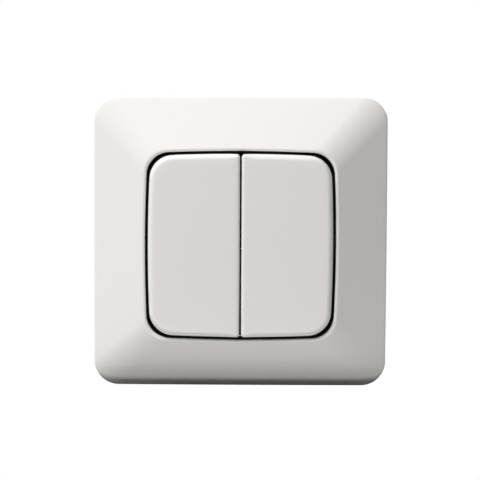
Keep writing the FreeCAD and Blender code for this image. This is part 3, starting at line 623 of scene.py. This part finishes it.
def frame_shell(bm, sizes, ring_front):
    """The frame's closed shell: outer skin, opening, collar, ceiling and the rim's inner wall."""
    run, slope = bevel(sizes)
    rim_curve, opening_curve = 1 / RIM_BOW, 1 / sizes.opening_bow
    collar_half, collar_corner = sizes.opening_half + sizes.collar, sizes.opening_corner + sizes.collar
    inner_half, inner_corner = sizes.half - sizes.wall, sizes.corner - sizes.wall / 2
    rings = []
    for inset, climb in skin_profile(sizes):
        share = min(inset / run, 1)
        corner = blend(sizes.corner, sizes.opening_corner, share)
        curve = blend(rim_curve, opening_curve, share)
        rings.append(frame_ring(sizes.half - inset, corner, curve, climb))
    for half, corner in ((sizes.opening_half, sizes.opening_corner), (collar_half, collar_corner)):
        rings.append(frame_ring(half, corner, opening_curve, ring_front, sizes))
    for step in range(CEILING_STEPS + 1):
        share = step / CEILING_STEPS
        half = blend(collar_half, inner_half, share)
        climb = sizes.rim + slope * (sizes.half - half) - sizes.wall * math.hypot(1, slope)
        corner = blend(collar_corner, inner_corner, share)
        curve = blend(opening_curve, rim_curve, share)
        rings.append(frame_ring(half, corner, curve, max(climb, ring_front)))
    rings.append(frame_ring(inner_half, inner_corner, rim_curve, 0))
    first, last = loft(bm, rings + rings[:1])
    bmesh.ops.remove_doubles(bm, verts=first + last, dist=MERGE)
    face_outwards(bm)


def corner_rib(bm, sizes, turn, ring_front):
    """A thin stiffening rib on a diagonal, whose ends sink into the collar, the rim and the ceiling."""
    slope = bevel(sizes)[1]
    root = math.sqrt(2)
    start = (sizes.opening_half + sizes.collar - sizes.opening_corner / 2) * root
    end = (sizes.half - sizes.wall - sizes.corner / 4) * root
    back = ring_front + RIB_CLEARANCE
    verts = add_block(bm, (start, -sizes.depth, -RIB_HALF), (end, -back, RIB_HALF))
    for vert in verts:
        if vert.co.y < -sizes.depth / 2:
            inset = sizes.half - sizes.corner - (vert.co.x - sizes.corner) / root
            climb = sizes.rim + slope * inset
            vert.co.y = -max(climb - sizes.wall * math.hypot(1, slope) / 2, back)
    bmesh.ops.rotate(bm, verts=verts, cent=(0, 0, 0), matrix=Matrix.Rotation(turn, 3, "Y"))


def latch_tongue(bm, x, level, sizes, ring_front):
    """A springy tongue that runs back from the collar through the ring and catches behind it."""
    x0, x1 = x - LATCH_HALF, x + LATCH_HALF
    z0 = sizes.opening_half + (sizes.collar - LATCH_WALL) / 2
    z1 = z0 + LATCH_WALL
    tongue = add_block(bm, (x0, -ring_front - LATCH_WALL, z0), (x1, LATCH_END, z1))
    hook = add_block(bm, (x0, LATCH_CLEARANCE, z0 + LATCH_WALL / 2), (x1, LATCH_END, z1 + LATCH_CATCH))
    for vert in hook:
        if vert.co.y > LATCH_END / 2 and vert.co.z > z1:
            vert.co.z = z1 + LATCH_LEAD
    if level < 0:
        half_turn = Matrix.Rotation(math.pi, 3, "Y")
        bmesh.ops.rotate(bm, verts=tongue + hook, cent=(x, 0, 0), matrix=half_turn)


class LIGHTSWITCH_OT_cover_frame(bpy.types.Operator):
    """Make the bevelled cover frame with its collar, ribs and latch tongues"""

    bl_idname = "light_switch.cover_frame"
    bl_label = "Cover Frame"

    def execute(self, context):
        sizes = settings().frame
        ring_front = -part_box("support_ring")[0].y
        bm = bmesh.new()
        frame_shell(bm, sizes, ring_front)
        for turn in range(4):
            corner_rib(bm, sizes, math.radians(45 + 90 * turn), ring_front)
        for x in (-LATCH_X, LATCH_X):
            for level in LEVELS.values():
                latch_tongue(bm, x, level, sizes, ring_front)
        moulding = make_piece("frame_moulding", bm, "gloss_white", "cover_frame", crease=50)
        mouth, half = -(sizes.depth - CLEARANCE_LIT), opening_reach(0.5)

        def in_opening(face):
            return abs(face.normal.y) < UPRIGHT and face.center.y > mouth and reach_of(face) < half

        # The opening's walls deeper than its lit edge get painted shade
        paint_shade_on_faces(moulding, "clearance_painted_shade", in_opening)
        return {"FINISHED"}


# Keys

EDGE_STEPS = 7
FRONT_RINGS = 12
INNER_CORNER_STEPS = 10
LEVEL_SIDE_STEPS = 18
OUTER_CORNER_STEPS = 20
OUTER_SIDE_STEPS = 30
MIDDLE_SIDE_STEPS = 34
MIDDLE_BOW = 100.0  # radius of the sides at the middle clearance, which look straight
GATE_INSET = 0.1 * MM
GATE_DEPTH = 0.35 * MM
GATE_HEIGHT = -0.6 * MM
HOOK_X = (5.9 * MM, 14.1 * MM)
HOOK_WIDTH = 3.5 * MM
HOOK_WALL = 1.2 * MM
HOOK_CATCH = 0.6 * MM
HOOK_LEAD = 0.2 * MM
YOKE_PLATE = 1.8 * MM
YOKE_BACK_CLEARANCE = 0.05 * MM
YOKE_END_CLEARANCE = 0.1 * MM
KEY_RIB_START = 18.4 * MM
KEY_RIB_APART = 10.2 * MM
KEY_RIB_HALF = 0.5 * MM
KEY_RIB_HEIGHT = 1.5 * MM
SUNK = 0.3 * MM


def key_outline(sizes, half):
    """The right key's closed outline, clockwise from the top of its side at the middle clearance."""
    x = sizes.middle_clearance / 2
    small = sizes.inner_corner
    bow = settings().frame.opening_bow
    c, side_centre, lean = corner_place(half, sizes.corner, bow)
    small_z = math.sqrt((bow - small) ** 2 - (x + small) ** 2) - side_centre
    inner_lean = math.atan((x + small) / (small_z + side_centre))
    quarter = math.pi / 2
    slant = math.asin(small_z / MIDDLE_BOW)
    upper = [
        (x + small, small_z, small, -quarter, inner_lean, INNER_CORNER_STEPS),
        (0, -side_centre, bow, inner_lean, lean, LEVEL_SIDE_STEPS),
        (c, c, sizes.corner, lean, quarter - lean, OUTER_CORNER_STEPS),
    ]
    outer = (-side_centre, 0, bow, quarter - lean, quarter + lean, OUTER_SIDE_STEPS)
    lower = [
        (cx, -cz, radius, math.pi - end, math.pi - start, steps)
        for cx, cz, radius, start, end, steps in reversed(upper)
    ]
    middle = (x + MIDDLE_BOW, 0, MIDDLE_BOW, 3 * quarter - slant, 3 * quarter + slant, MIDDLE_SIDE_STEPS)
    return walk([*upper, outer, *lower, middle])


def key_cap(bm, sizes, side):
    """A key in the right one's place: its bowed front, rounded edges, skirt and hollow back."""
    low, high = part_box(f"{side}_key")
    half = settings().frame.opening_half - sizes.clearance
    outline = key_outline(sizes, half)
    inner_side = sizes.middle_clearance / 2
    middle = (inner_side + half) / 2

    def front(x, z):
        return low.y + (x * x + z * z) / (2 * sizes.front_bow)

    def edge_radius(x, nx):
        share = min(max((x - inner_side) / sizes.edge_blend, 0), 1)
        share = 0 if nx < -0.5 else share * share * (3 - 2 * share)
        return blend(sizes.inner_edge, sizes.edge, share)

    inside = low.y + sizes.front_wall
    narrower, shorter = 1 - sizes.skirt_wall / middle, 1 - sizes.skirt_wall / half
    hollow = [(blend(middle, x, narrower), z * shorter) for x, z, _, _ in outline]
    short_end, short_to = inside + sizes.skirt_wall, inner_side + sizes.inner_corner
    ends = [short_end if x < short_to else high.y for x, _, _, _ in outline]
    rings = [
        [(x, inside, z) for x, z in hollow],
        [(x, end, z) for (x, z), end in zip(hollow, ends)],
        [(x, end, z) for (x, z, _, _), end in zip(outline, ends)],
    ]
    for step in range(EDGE_STEPS + 1):
        turn = math.pi / 2 * step / EDGE_STEPS
        edge = []
        for x, z, nx, nz in outline:
            radius = edge_radius(x, nx)
            inset = radius * (1 - math.cos(turn))
            px, pz = x - nx * inset, z - nz * inset
            edge.append((px, front(px, pz) + radius * (1 - math.sin(turn)), pz))
        rings.append(edge)
    for step in range(1, FRONT_RINGS):
        share = 1 - step / FRONT_RINGS
        points = [(blend(middle, x, share), z * share) for x, _, z in edge]
        rings.append([(x, front(x, z), z) for x, z in points])

    first, last = loft(bm, rings)
    bmesh.ops.contextual_create(bm, geom=ring_edges(bm, first))
    centre = bmesh.ops.contextual_create(bm, geom=ring_edges(bm, last))["faces"]
    for vert in bmesh.ops.poke(bm, faces=centre)["verts"]:
        vert.co.y = front(vert.co.x, vert.co.z)


def key_hooks(bm, sizes, side):
    """The hooks behind a key that catch under the ends of its yoke, and its ribs."""
    low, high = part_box(f"{side}_yoke")
    inside = low.y
    catch_y = inside + YOKE_PLATE + YOKE_BACK_CLEARANCE
    hook_end = catch_y + HOOK_WALL
    end_z = high.z + YOKE_END_CLEARANCE
    for x in HOOK_X:
        x0, x1 = x - HOOK_WIDTH / 2, x + HOOK_WIDTH / 2
        for level in LEVELS.values():
            add_block(bm, (x0, inside - SUNK, level * end_z), (x1, hook_end, level * (end_z + HOOK_WALL)))
            nose, root = level * (end_z - HOOK_CATCH), level * (end_z + HOOK_LEAD)
            for vert in add_block(bm, (x0, catch_y, nose), (x1, hook_end, root)):
                if vert.co.y > catch_y + HOOK_WALL / 2 and abs(vert.co.z) < end_z:
                    vert.co.z = level * end_z
    rib_end = settings().frame.opening_half - sizes.clearance - sizes.skirt_wall / 2
    for z in (-KEY_RIB_APART, 0, KEY_RIB_APART):
        start = (KEY_RIB_START, inside - SUNK, z - KEY_RIB_HALF)
        add_block(bm, start, (rib_end, inside + KEY_RIB_HEIGHT, z + KEY_RIB_HALF))


def gate_mark(bm, sizes):
    """The small mark that the moulding gate leaves beside the middle clearance."""
    mark = bmesh.ops.create_icosphere(bm, subdivisions=2, radius=sizes.gate)["verts"]
    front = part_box("right_key")[0].y
    place = (sizes.middle_clearance / 2 + GATE_INSET, front + GATE_DEPTH, GATE_HEIGHT)
    bmesh.ops.translate(bm, verts=mark, vec=place)


class LIGHTSWITCH_OT_keys(bpy.types.Operator):
    """Make the two push keys with bowed fronts and rounded edges"""

    bl_idname = "light_switch.keys"
    bl_label = "Push Keys"

    def execute(self, context):
        sizes = settings().keys
        for side in SIDES:
            bm = bmesh.new()
            key_cap(bm, sizes, side)
            key_hooks(bm, sizes, side)
            if side == "left":
                bmesh.ops.scale(bm, verts=bm.verts, vec=(-1, 1, 1))
            else:
                gate_mark(bm, sizes)
            face_outwards(bm)
            cap = make_piece(f"{side}_key_cap", bm, "gloss_white", f"{side}_key", crease=50)
            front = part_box(f"{side}_key")[0].y
            outer = front + sizes.edge + CLEARANCE_LIT / 2
            middle = front + sizes.inner_edge + CLEARANCE_LIT / 6

            def on_skirt(face):
                dark_from = middle if abs(face.center.x) < MIDDLE_REACH else outer
                return abs(face.normal.y) < UPRIGHT and face.center.y > dark_from

            # The skirts' walls deeper than their lit edge get painted shade
            paint_shade_on_faces(cap, "clearance_painted_shade", on_skirt)
        return {"FINISHED"}


# Hidden mouldings, stampings and contacts


class LIGHTSWITCH_OT_mouldings(bpy.types.Operator):
    """Round the edges of the insert, the base, the yokes and the plungers"""

    bl_idname = "light_switch.mouldings"
    bl_label = "Insert Mouldings"

    def execute(self, context):
        finishes = {"mechanism_cover": "grey_insert", "switch_base": "grey_insert"}
        for side in SIDES:
            finishes[f"{side}_yoke"] = "carrier_white"
            finishes[f"{side}_plunger"] = "carrier_white"
        round_solids(finishes, settings().finishes.moulded_edge, "moulding")
        return {"FINISHED"}


class LIGHTSWITCH_OT_stampings(bpy.types.Operator):
    """Round the edges of the claws and the support ring"""

    bl_idname = "light_switch.stampings"
    bl_label = "Steel Stampings"

    def execute(self, context):
        edge = settings().finishes.stamped_edge
        round_solids({f"{side}_claw": "zinc_steel" for side in SIDES}, edge, "stamping")
        half = opening_reach(1)
        bm = rounded_copy("support_ring", edge)
        for axis in (ACROSS, UP):
            for reach in (-half, half):
                cut_plane(bm, axis, reach)
        ring = make_piece("support_ring_stamping", bm, "zinc_steel", "support_ring")
        # The ring's front inside the opening gets painted shade: its zinc is drawn dark
        paint_shade_on_faces(ring, "dull_zinc", lambda face: face.normal.y < -0.9 and reach_of(face) < half)
        return {"FINISHED"}


class LIGHTSWITCH_OT_contacts(bpy.types.Operator):
    """Round the edges of the brass and silver pieces"""

    bl_idname = "light_switch.contacts"
    bl_label = "Contacts and Terminals"

    def execute(self, context):
        finishes = {"feed_bar": "brass"}
        for side in SIDES:
            for part in ("contact_rocker", "load_strip"):
                finishes[f"{side}_{part}"] = "brass"
            for part in ("moving_contact", "fixed_contact"):
                finishes[f"{side}_{part}"] = "silver"
            for level in LEVELS:
                finishes[f"{level}_{side}_terminal"] = "brass"
        round_solids(finishes, settings().finishes.stamped_edge, "part")
        return {"FINISHED"}


# Screws

HEAD_SIDES = 40
HEAD_EDGE_STEPS = 4
POINT_SHARE = 0.45  # length of the point as a share of the core's radius
THREAD_STEPS = 18
THREAD_SUNK = 0.02 * MM
RIDGE_SHARE = 0.42  # half the width of the ridge's foot as a share of the pitch


def turned_blank(sizes, head_radius, head_height, core, length):
    """A cheese-head screw blank along +Y from the middle of its head's top, spun from its outline."""
    rounding, point = sizes.head_edge, core * POINT_SHARE
    outline = [(0, 0)]
    for step in range(HEAD_EDGE_STEPS + 1):
        turn = math.pi / 2 * step / HEAD_EDGE_STEPS
        outline.append((head_radius - rounding * (1 - math.sin(turn)), rounding * (1 - math.cos(turn))))
    outline += [
        (head_radius, head_height - rounding / 2),
        (head_radius - rounding / 2, head_height),
        (core, head_height),
        (core, length - point),
        (core - point, length),
        (0, length),
    ]
    bm = bmesh.new()
    verts = [bm.verts.new((radius, y, 0)) for radius, y in outline]
    edges = [bm.edges.new(pair) for pair in zip(verts, verts[1:])]
    wind(bm, verts + edges, 2 * math.pi, HEAD_SIDES, close=True)
    bmesh.ops.remove_doubles(bm, verts=bm.verts, dist=MERGE)
    face_outwards(bm)
    return bm


def cut_slot(bm, width, depth):
    """A screwdriver slot across the head: cut at its planes, opened, then walled and floored."""
    half, near = width / 2, 2 * MERGE
    for axis, reach in ((ACROSS, half), (ACROSS, -half), (INWARDS, depth)):
        cut_plane(bm, axis, reach)
    gone = []
    for face in bm.faces:
        middle = face.calc_center_median()
        if abs(middle.x) < half and middle.y < depth:
            gone.append(face)
    bmesh.ops.delete(bm, geom=gone, context="FACES")
    for side in (-half, half):
        rim = [e for e in bm.edges if e.is_boundary and all(abs(v.co.x - side) < near for v in e.verts)]
        ends = {v for e in rim for v in e.verts if abs(v.co.y - depth) < near}
        floor_edge = bmesh.ops.contextual_create(bm, geom=list(ends))["edges"]
        bmesh.ops.contextual_create(bm, geom=rim + floor_edge)
    floor = [e for e in bm.edges if e.is_boundary]
    bmesh.ops.contextual_create(bm, geom=floor)
    face_outwards(bm)


def cut_thread(bm, sizes, core, start, end):
    """The thread's ridge round the core: a three-sided section wound along it, its ends closed."""
    pitch = sizes.thread_pitch
    turns = int((end - start) / pitch) - 1
    root, crest, half = core - THREAD_SUNK, core + sizes.thread_depth, RIDGE_SHARE * pitch
    first = start + pitch / 2
    corners = ((root, first - half, 0), (crest, first, 0), (root, first + half, 0))
    verts = [bm.verts.new(corner) for corner in corners]
    ring = [bm.edges.new(pair) for pair in zip(verts, verts[1:] + verts[:1])]
    bmesh.ops.contextual_create(bm, geom=ring)
    last = wind(bm, verts + ring, 2 * math.pi * turns, turns * THREAD_STEPS, rise=pitch / THREAD_STEPS)
    fill_end(bm, last)
    face_outwards(bm)


def screw(sizes, kind, top, direction, length):
    """The mesh of one slotted screw. Its kind is its head's radius and height, and its own radius."""
    head_radius, head_height, radius = kind
    core = radius - sizes.thread_depth
    bm = turned_blank(sizes, head_radius, head_height, core, length)
    cut_slot(bm, sizes.slot_width, sizes.slot_depth)
    cut_thread(bm, sizes, core, head_height, length)
    aim(bm, top, direction)
    return to_mesh("screw", bm)


def joined(meshes):
    """Several meshes in one bmesh."""
    bm = bmesh.new()
    for mesh in meshes:
        bm.from_mesh(mesh)
        bpy.data.meshes.remove(mesh)
    return bm


class LIGHTSWITCH_OT_screws(bpy.types.Operator):
    """Make the slotted screws with their threads"""

    bl_idname = "light_switch.screws"
    bl_label = "Screws"

    def execute(self, context):
        sizes = settings().hardware
        made = {}
        for side in SIDES:
            low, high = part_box(f"{side}_claw_screw")
            kind = ((high.z - low.z) / 2, sizes.claw_head, sizes.claw_screw)
            top = ((low.x + high.x) / 2, low.y, (low.z + high.z) / 2)
            made[f"{side}_claw_screw"] = [screw(sizes, kind, top, INWARDS, (high - low).y)]

        low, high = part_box("terminal_screws")
        kind = ((high.y - low.y) / 2, sizes.terminal_head, sizes.terminal_screw)
        x, y = high.x - kind[0], (low.y + high.y) / 2
        length = high.z - (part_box("upper_right_terminal")[1].z - sizes.cage_reach)
        made["terminal_screws"] = [
            screw(sizes, kind, (side * x, y, level * high.z), UP * -level, length)
            for side in SIDES.values()
            for level in LEVELS.values()
        ]

        low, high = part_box("assembly_screws")
        kind = (sizes.assembly_head_radius, sizes.assembly_head, sizes.assembly_screw)
        x, z = high.x - kind[0], high.z - kind[0]
        made["assembly_screws"] = [
            screw(sizes, kind, (x * side, low.y, -z * side), INWARDS, (high - low).y)
            for side in SIDES.values()
        ]
        half = opening_reach(1)
        for node, meshes in made.items():
            turned = make_piece(f"{node}_turned", joined(meshes), "zinc_steel", node)
            # The claw screws inside the opening get painted shade: their zinc is drawn dark
            if "claw" in node:
                paint_shade_on_faces(turned, "dull_zinc", lambda face: face.normal.y < 0.1 and reach_of(face) < half)
        return {"FINISHED"}


# Springs

WIRE_SIDES = 10
TURN_STEPS = 28
RETURN_TURNS = 3
PLUNGER_TURNS = 6
CLOSED_RISE = 1.04  # rise of a closed turn as a share of the wire


def wound_coil(wire, radius, turns, length):
    """A compression spring along +Y with closed end turns, wound from a round wire section."""
    bm = bmesh.new()
    verts = bmesh.ops.create_circle(bm, cap_ends=True, radius=wire / 2, segments=WIRE_SIDES)["verts"]
    bmesh.ops.translate(bm, verts=verts, vec=(radius, wire / 2, 0))
    last = list(dict.fromkeys(e for v in verts for e in v.link_edges)) + verts
    closed_rise = wire * CLOSED_RISE
    open_rise = length - wire - 2 * closed_rise
    for rise, count in ((closed_rise, 1), (open_rise, turns), (closed_rise, 1)):
        steps = count * TURN_STEPS
        last = wind(bm, last, 2 * math.pi * count, steps, rise=rise / steps)
    fill_end(bm, last)
    face_outwards(bm)
    return bm


def spring(node, point, axis, wire, radius, turns):
    """A coil along an axis, as far as the solid that it stands for reaches. Also gives that reach."""
    reach = [(vert.co - point).dot(axis) for vert in frame["nodes"][node].data.vertices]
    start, length = min(reach), max(reach) - min(reach)
    bm = wound_coil(wire, radius, turns, length)
    aim(bm, point + axis * start, axis)
    return make_piece(f"{node}_coil", bm, "spring_steel", node), start, length


class LIGHTSWITCH_OT_springs(bpy.types.Operator):
    """Wind the return springs and the plungers' springs"""

    bl_idname = "light_switch.springs"
    bl_label = "Springs"

    def execute(self, context):
        sizes = settings().hardware
        joints = {joint["name"]: joint for joint in frame["joints"]}
        for side in SIDES:
            press, slide = joints[f"{side}_key_press"], joints[f"{side}_plunger_slide"]
            node = f"{side}_return_spring"
            low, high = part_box(node)
            middle = (low + high) / 2
            coil, start, length = spring(
                node, middle, INWARDS, sizes.return_wire, sizes.return_radius, RETURN_TURNS
            )
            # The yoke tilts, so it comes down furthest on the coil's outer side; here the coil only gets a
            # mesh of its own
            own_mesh(coil)

            node = f"{side}_plunger_spring"
            pivot, axis = Vector(press["pos_m"]), Vector(slide["axis"])
            coil, start, length = spring(
                node, pivot, axis, sizes.plunger_wire, sizes.plunger_radius, PLUNGER_TURNS
            )
            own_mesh(coil)
        return {"FINISHED"}


# Stage

FLOOR_SIDES = 96
FLOOR_NEAR = 0.2  # from the floor's middle to where it starts to pass into white
FLOOR_FAR = 0.46
LAMP_DISTANCE = 1.5
CAMERA_TARGET = Vector((-0.14 * MM, -5.5 * MM, 0.82 * MM))
WHITE = (1, 1, 1, 1)


def towards(azimuth, elevation):
    """The direction from the switch to a lamp or camera, right of the front and above the level."""
    level = math.cos(elevation)
    return Vector((math.sin(azimuth) * level, -math.cos(azimuth) * level, math.sin(elevation)))


def softbox(name, azimuth, elevation, width, height, watts):
    """A softbox that points at the switch, from an azimuth and an elevation in degrees."""
    light = bpy.data.lights.new(name, "AREA")
    light.shape = "RECTANGLE"
    light.size = width
    light.size_y = height
    light.energy = watts
    lamp = link_object(name, light)
    direction = towards(math.radians(azimuth), math.radians(elevation))
    lamp.location = direction * LAMP_DISTANCE
    lamp.rotation_mode = "QUATERNION"
    lamp.rotation_quaternion = direction.to_track_quat("Z", "Y")


def camera_view(sizes):
    """The photograph's camera."""
    lens = bpy.data.cameras.new("camera")
    lens.lens = sizes.camera_lens
    camera = link_object("camera", lens)
    back = towards(0, sizes.camera_elevation)
    camera.location = CAMERA_TARGET + back * sizes.camera_distance
    camera.rotation_mode = "QUATERNION"
    aimed = (-back).to_track_quat("-Z", "Y").to_matrix()
    roll = Matrix.Rotation(sizes.camera_roll, 3, "Z")
    camera.rotation_quaternion = (aimed @ roll).to_quaternion()
    bpy.context.scene.camera = camera


def seen_directly(tree):
    """1 for rays that show the background, straight or by way of metal or glass, and 0 for others."""
    path = add_node(tree, "ShaderNodeLightPath").outputs
    seen = path["Is Camera Ray"]
    for ray in ("Is Glossy Ray", "Is Transmission Ray"):
        seen = add_node(tree, "ShaderNodeMath", {0: seen, 1: path[ray]}, operation="MAXIMUM").outputs[0]
    return seen


def white_sky(strength):
    """A world that looks white and lights the object evenly at a lower strength."""
    world = bpy.data.worlds.new("studio")
    world.use_nodes = True
    tree = world.node_tree
    tree.nodes.clear()
    inputs = {"Value": seen_directly(tree), "To Min": strength, "To Max": 1.0}
    level = add_node(tree, "ShaderNodeMapRange", inputs).outputs["Result"]
    light = add_node(tree, "ShaderNodeBackground", {"Color": WHITE, "Strength": level})
    add_node(tree, "ShaderNodeOutputWorld", {"Surface": light.outputs["Background"]})
    bpy.context.scene.world = world


def card_material():
    """Matt dark card, as photographers use to keep light off an edge."""
    material, tree = new_material("dark card")
    matt = add_node(tree, "ShaderNodeBsdfDiffuse", {"Color": linear("#5A5A5A") + [1]}).outputs["BSDF"]
    add_node(tree, "ShaderNodeOutputMaterial", {"Surface": matt})
    return material


def floor_material():
    """Pale matt floor that keeps the switch's shadow near it and passes into white further off."""
    material, tree = new_material("pale studio floor")
    place = add_node(tree, "ShaderNodeTexCoord").outputs["Object"]
    flat = add_node(tree, "ShaderNodeMapping", {"Vector": place, "Scale": (1, 1, 0)}).outputs["Vector"]
    away = add_node(tree, "ShaderNodeVectorMath", {0: flat}, operation="LENGTH").outputs["Value"]
    inputs = {"Value": away, "From Min": FLOOR_NEAR, "From Max": FLOOR_FAR}
    far = add_node(tree, "ShaderNodeMapRange", inputs).outputs["Result"]
    inputs = {0: seen_directly(tree), 1: far}
    white = add_node(tree, "ShaderNodeMath", inputs, operation="MULTIPLY").outputs[0]
    matt = add_node(tree, "ShaderNodeBsdfDiffuse", {"Color": linear("#DDDDDB") + [1]}).outputs["BSDF"]
    glow = add_node(tree, "ShaderNodeEmission", {"Color": WHITE, "Strength": 1.0}).outputs["Emission"]
    both = add_node(tree, "ShaderNodeMixShader", {0: white, 1: matt, 2: glow}).outputs["Shader"]
    add_node(tree, "ShaderNodeOutputMaterial", {"Surface": both})
    return material


def stage_sheet(name, material, outline):
    """A flat sheet of the stage, from the points round its edge."""
    bm = bmesh.new()
    add_ring(bm, outline, fill=True)
    sheet = link_object(name, to_mesh(name, bm))
    sheet.data.materials.append(material)
    return sheet


class LIGHTSWITCH_OT_stage(bpy.types.Operator):
    """Set up the floor, the card under the frame, the sky, the lamps and the camera"""

    bl_idname = "light_switch.stage"
    bl_label = "Stage"

    def execute(self, context):
        sizes = settings().stage
        context.scene.view_settings.view_transform = "Standard"
        white_sky(sizes.sky)

        turns = [2 * math.pi * step / FLOOR_SIDES for step in range(FLOOR_SIDES)]
        radius, level = sizes.floor_radius, -sizes.floor_drop
        rim = [(radius * math.cos(turn), radius * math.sin(turn), level) for turn in turns]
        stage_sheet("floor", floor_material(), rim)

        half, front = sizes.card_width / 2, -sizes.card_depth
        level = cad_low.z - sizes.card_drop
        corners = [(-half, 0, level), (-half, front, level), (half, front, level), (half, 0, level)]
        card = stage_sheet("edge_card", card_material(), corners)
        card.visible_camera = False

        softbox("upper_softbox", -60, 60, 0.9, 0.7, sizes.upper_power)
        softbox("low_fill", -6, -25, 1.6, 0.3, sizes.low_power)
        softbox("back_softbox", 155, 12, 1.0, 0.8, sizes.back_power)
        camera_view(sizes)
        return {"FINISHED"}


# Panel and registration

OPERATORS = (
    LIGHTSWITCH_OT_stage, LIGHTSWITCH_OT_cover_frame, LIGHTSWITCH_OT_keys, LIGHTSWITCH_OT_mouldings,
    LIGHTSWITCH_OT_stampings, LIGHTSWITCH_OT_contacts, LIGHTSWITCH_OT_screws, LIGHTSWITCH_OT_springs,
)
GROUPS = (FrameSizes, KeySizes, HardwareSizes, Finishes, StageSettings, SwitchSettings)


class LIGHTSWITCH_PT_panel(bpy.types.Panel):
    """Sizes and steps of the light switch"""

    bl_idname = "LIGHTSWITCH_PT_panel"
    bl_label = "Push Button Light Switch"
    bl_space_type = "VIEW_3D"
    bl_region_type = "UI"
    bl_category = "Light Switch"

    def draw(self, context):
        switch = settings()
        for group in (switch.frame, switch.keys, switch.hardware, switch.finishes, switch.stage):
            box = self.layout.box()
            for name in type(group).__annotations__:
                box.prop(group, name)
        for operator in OPERATORS:
            self.layout.operator(operator.bl_idname)


CLASSES = GROUPS + OPERATORS + (LIGHTSWITCH_PT_panel,)


def register():
    """Adds the settings, the operators and the panel to Blender."""
    for cls in CLASSES:
        bpy.utils.register_class(cls)
    bpy.types.Scene.light_switch = PointerProperty(type=SwitchSettings)


def unregister():
    """Takes them out again."""
    del bpy.types.Scene.light_switch
    for cls in reversed(CLASSES):
        bpy.utils.unregister_class(cls)


def main():
    """Makes the whole switch and its stage."""
    register()
    bpy.ops.light_switch.stage()
    bpy.ops.light_switch.cover_frame()
    bpy.ops.light_switch.keys()
    bpy.ops.light_switch.mouldings()
    bpy.ops.light_switch.stampings()
    bpy.ops.light_switch.contacts()
    bpy.ops.light_switch.screws()
    bpy.ops.light_switch.springs()


if __name__ == "__main__":
    main()
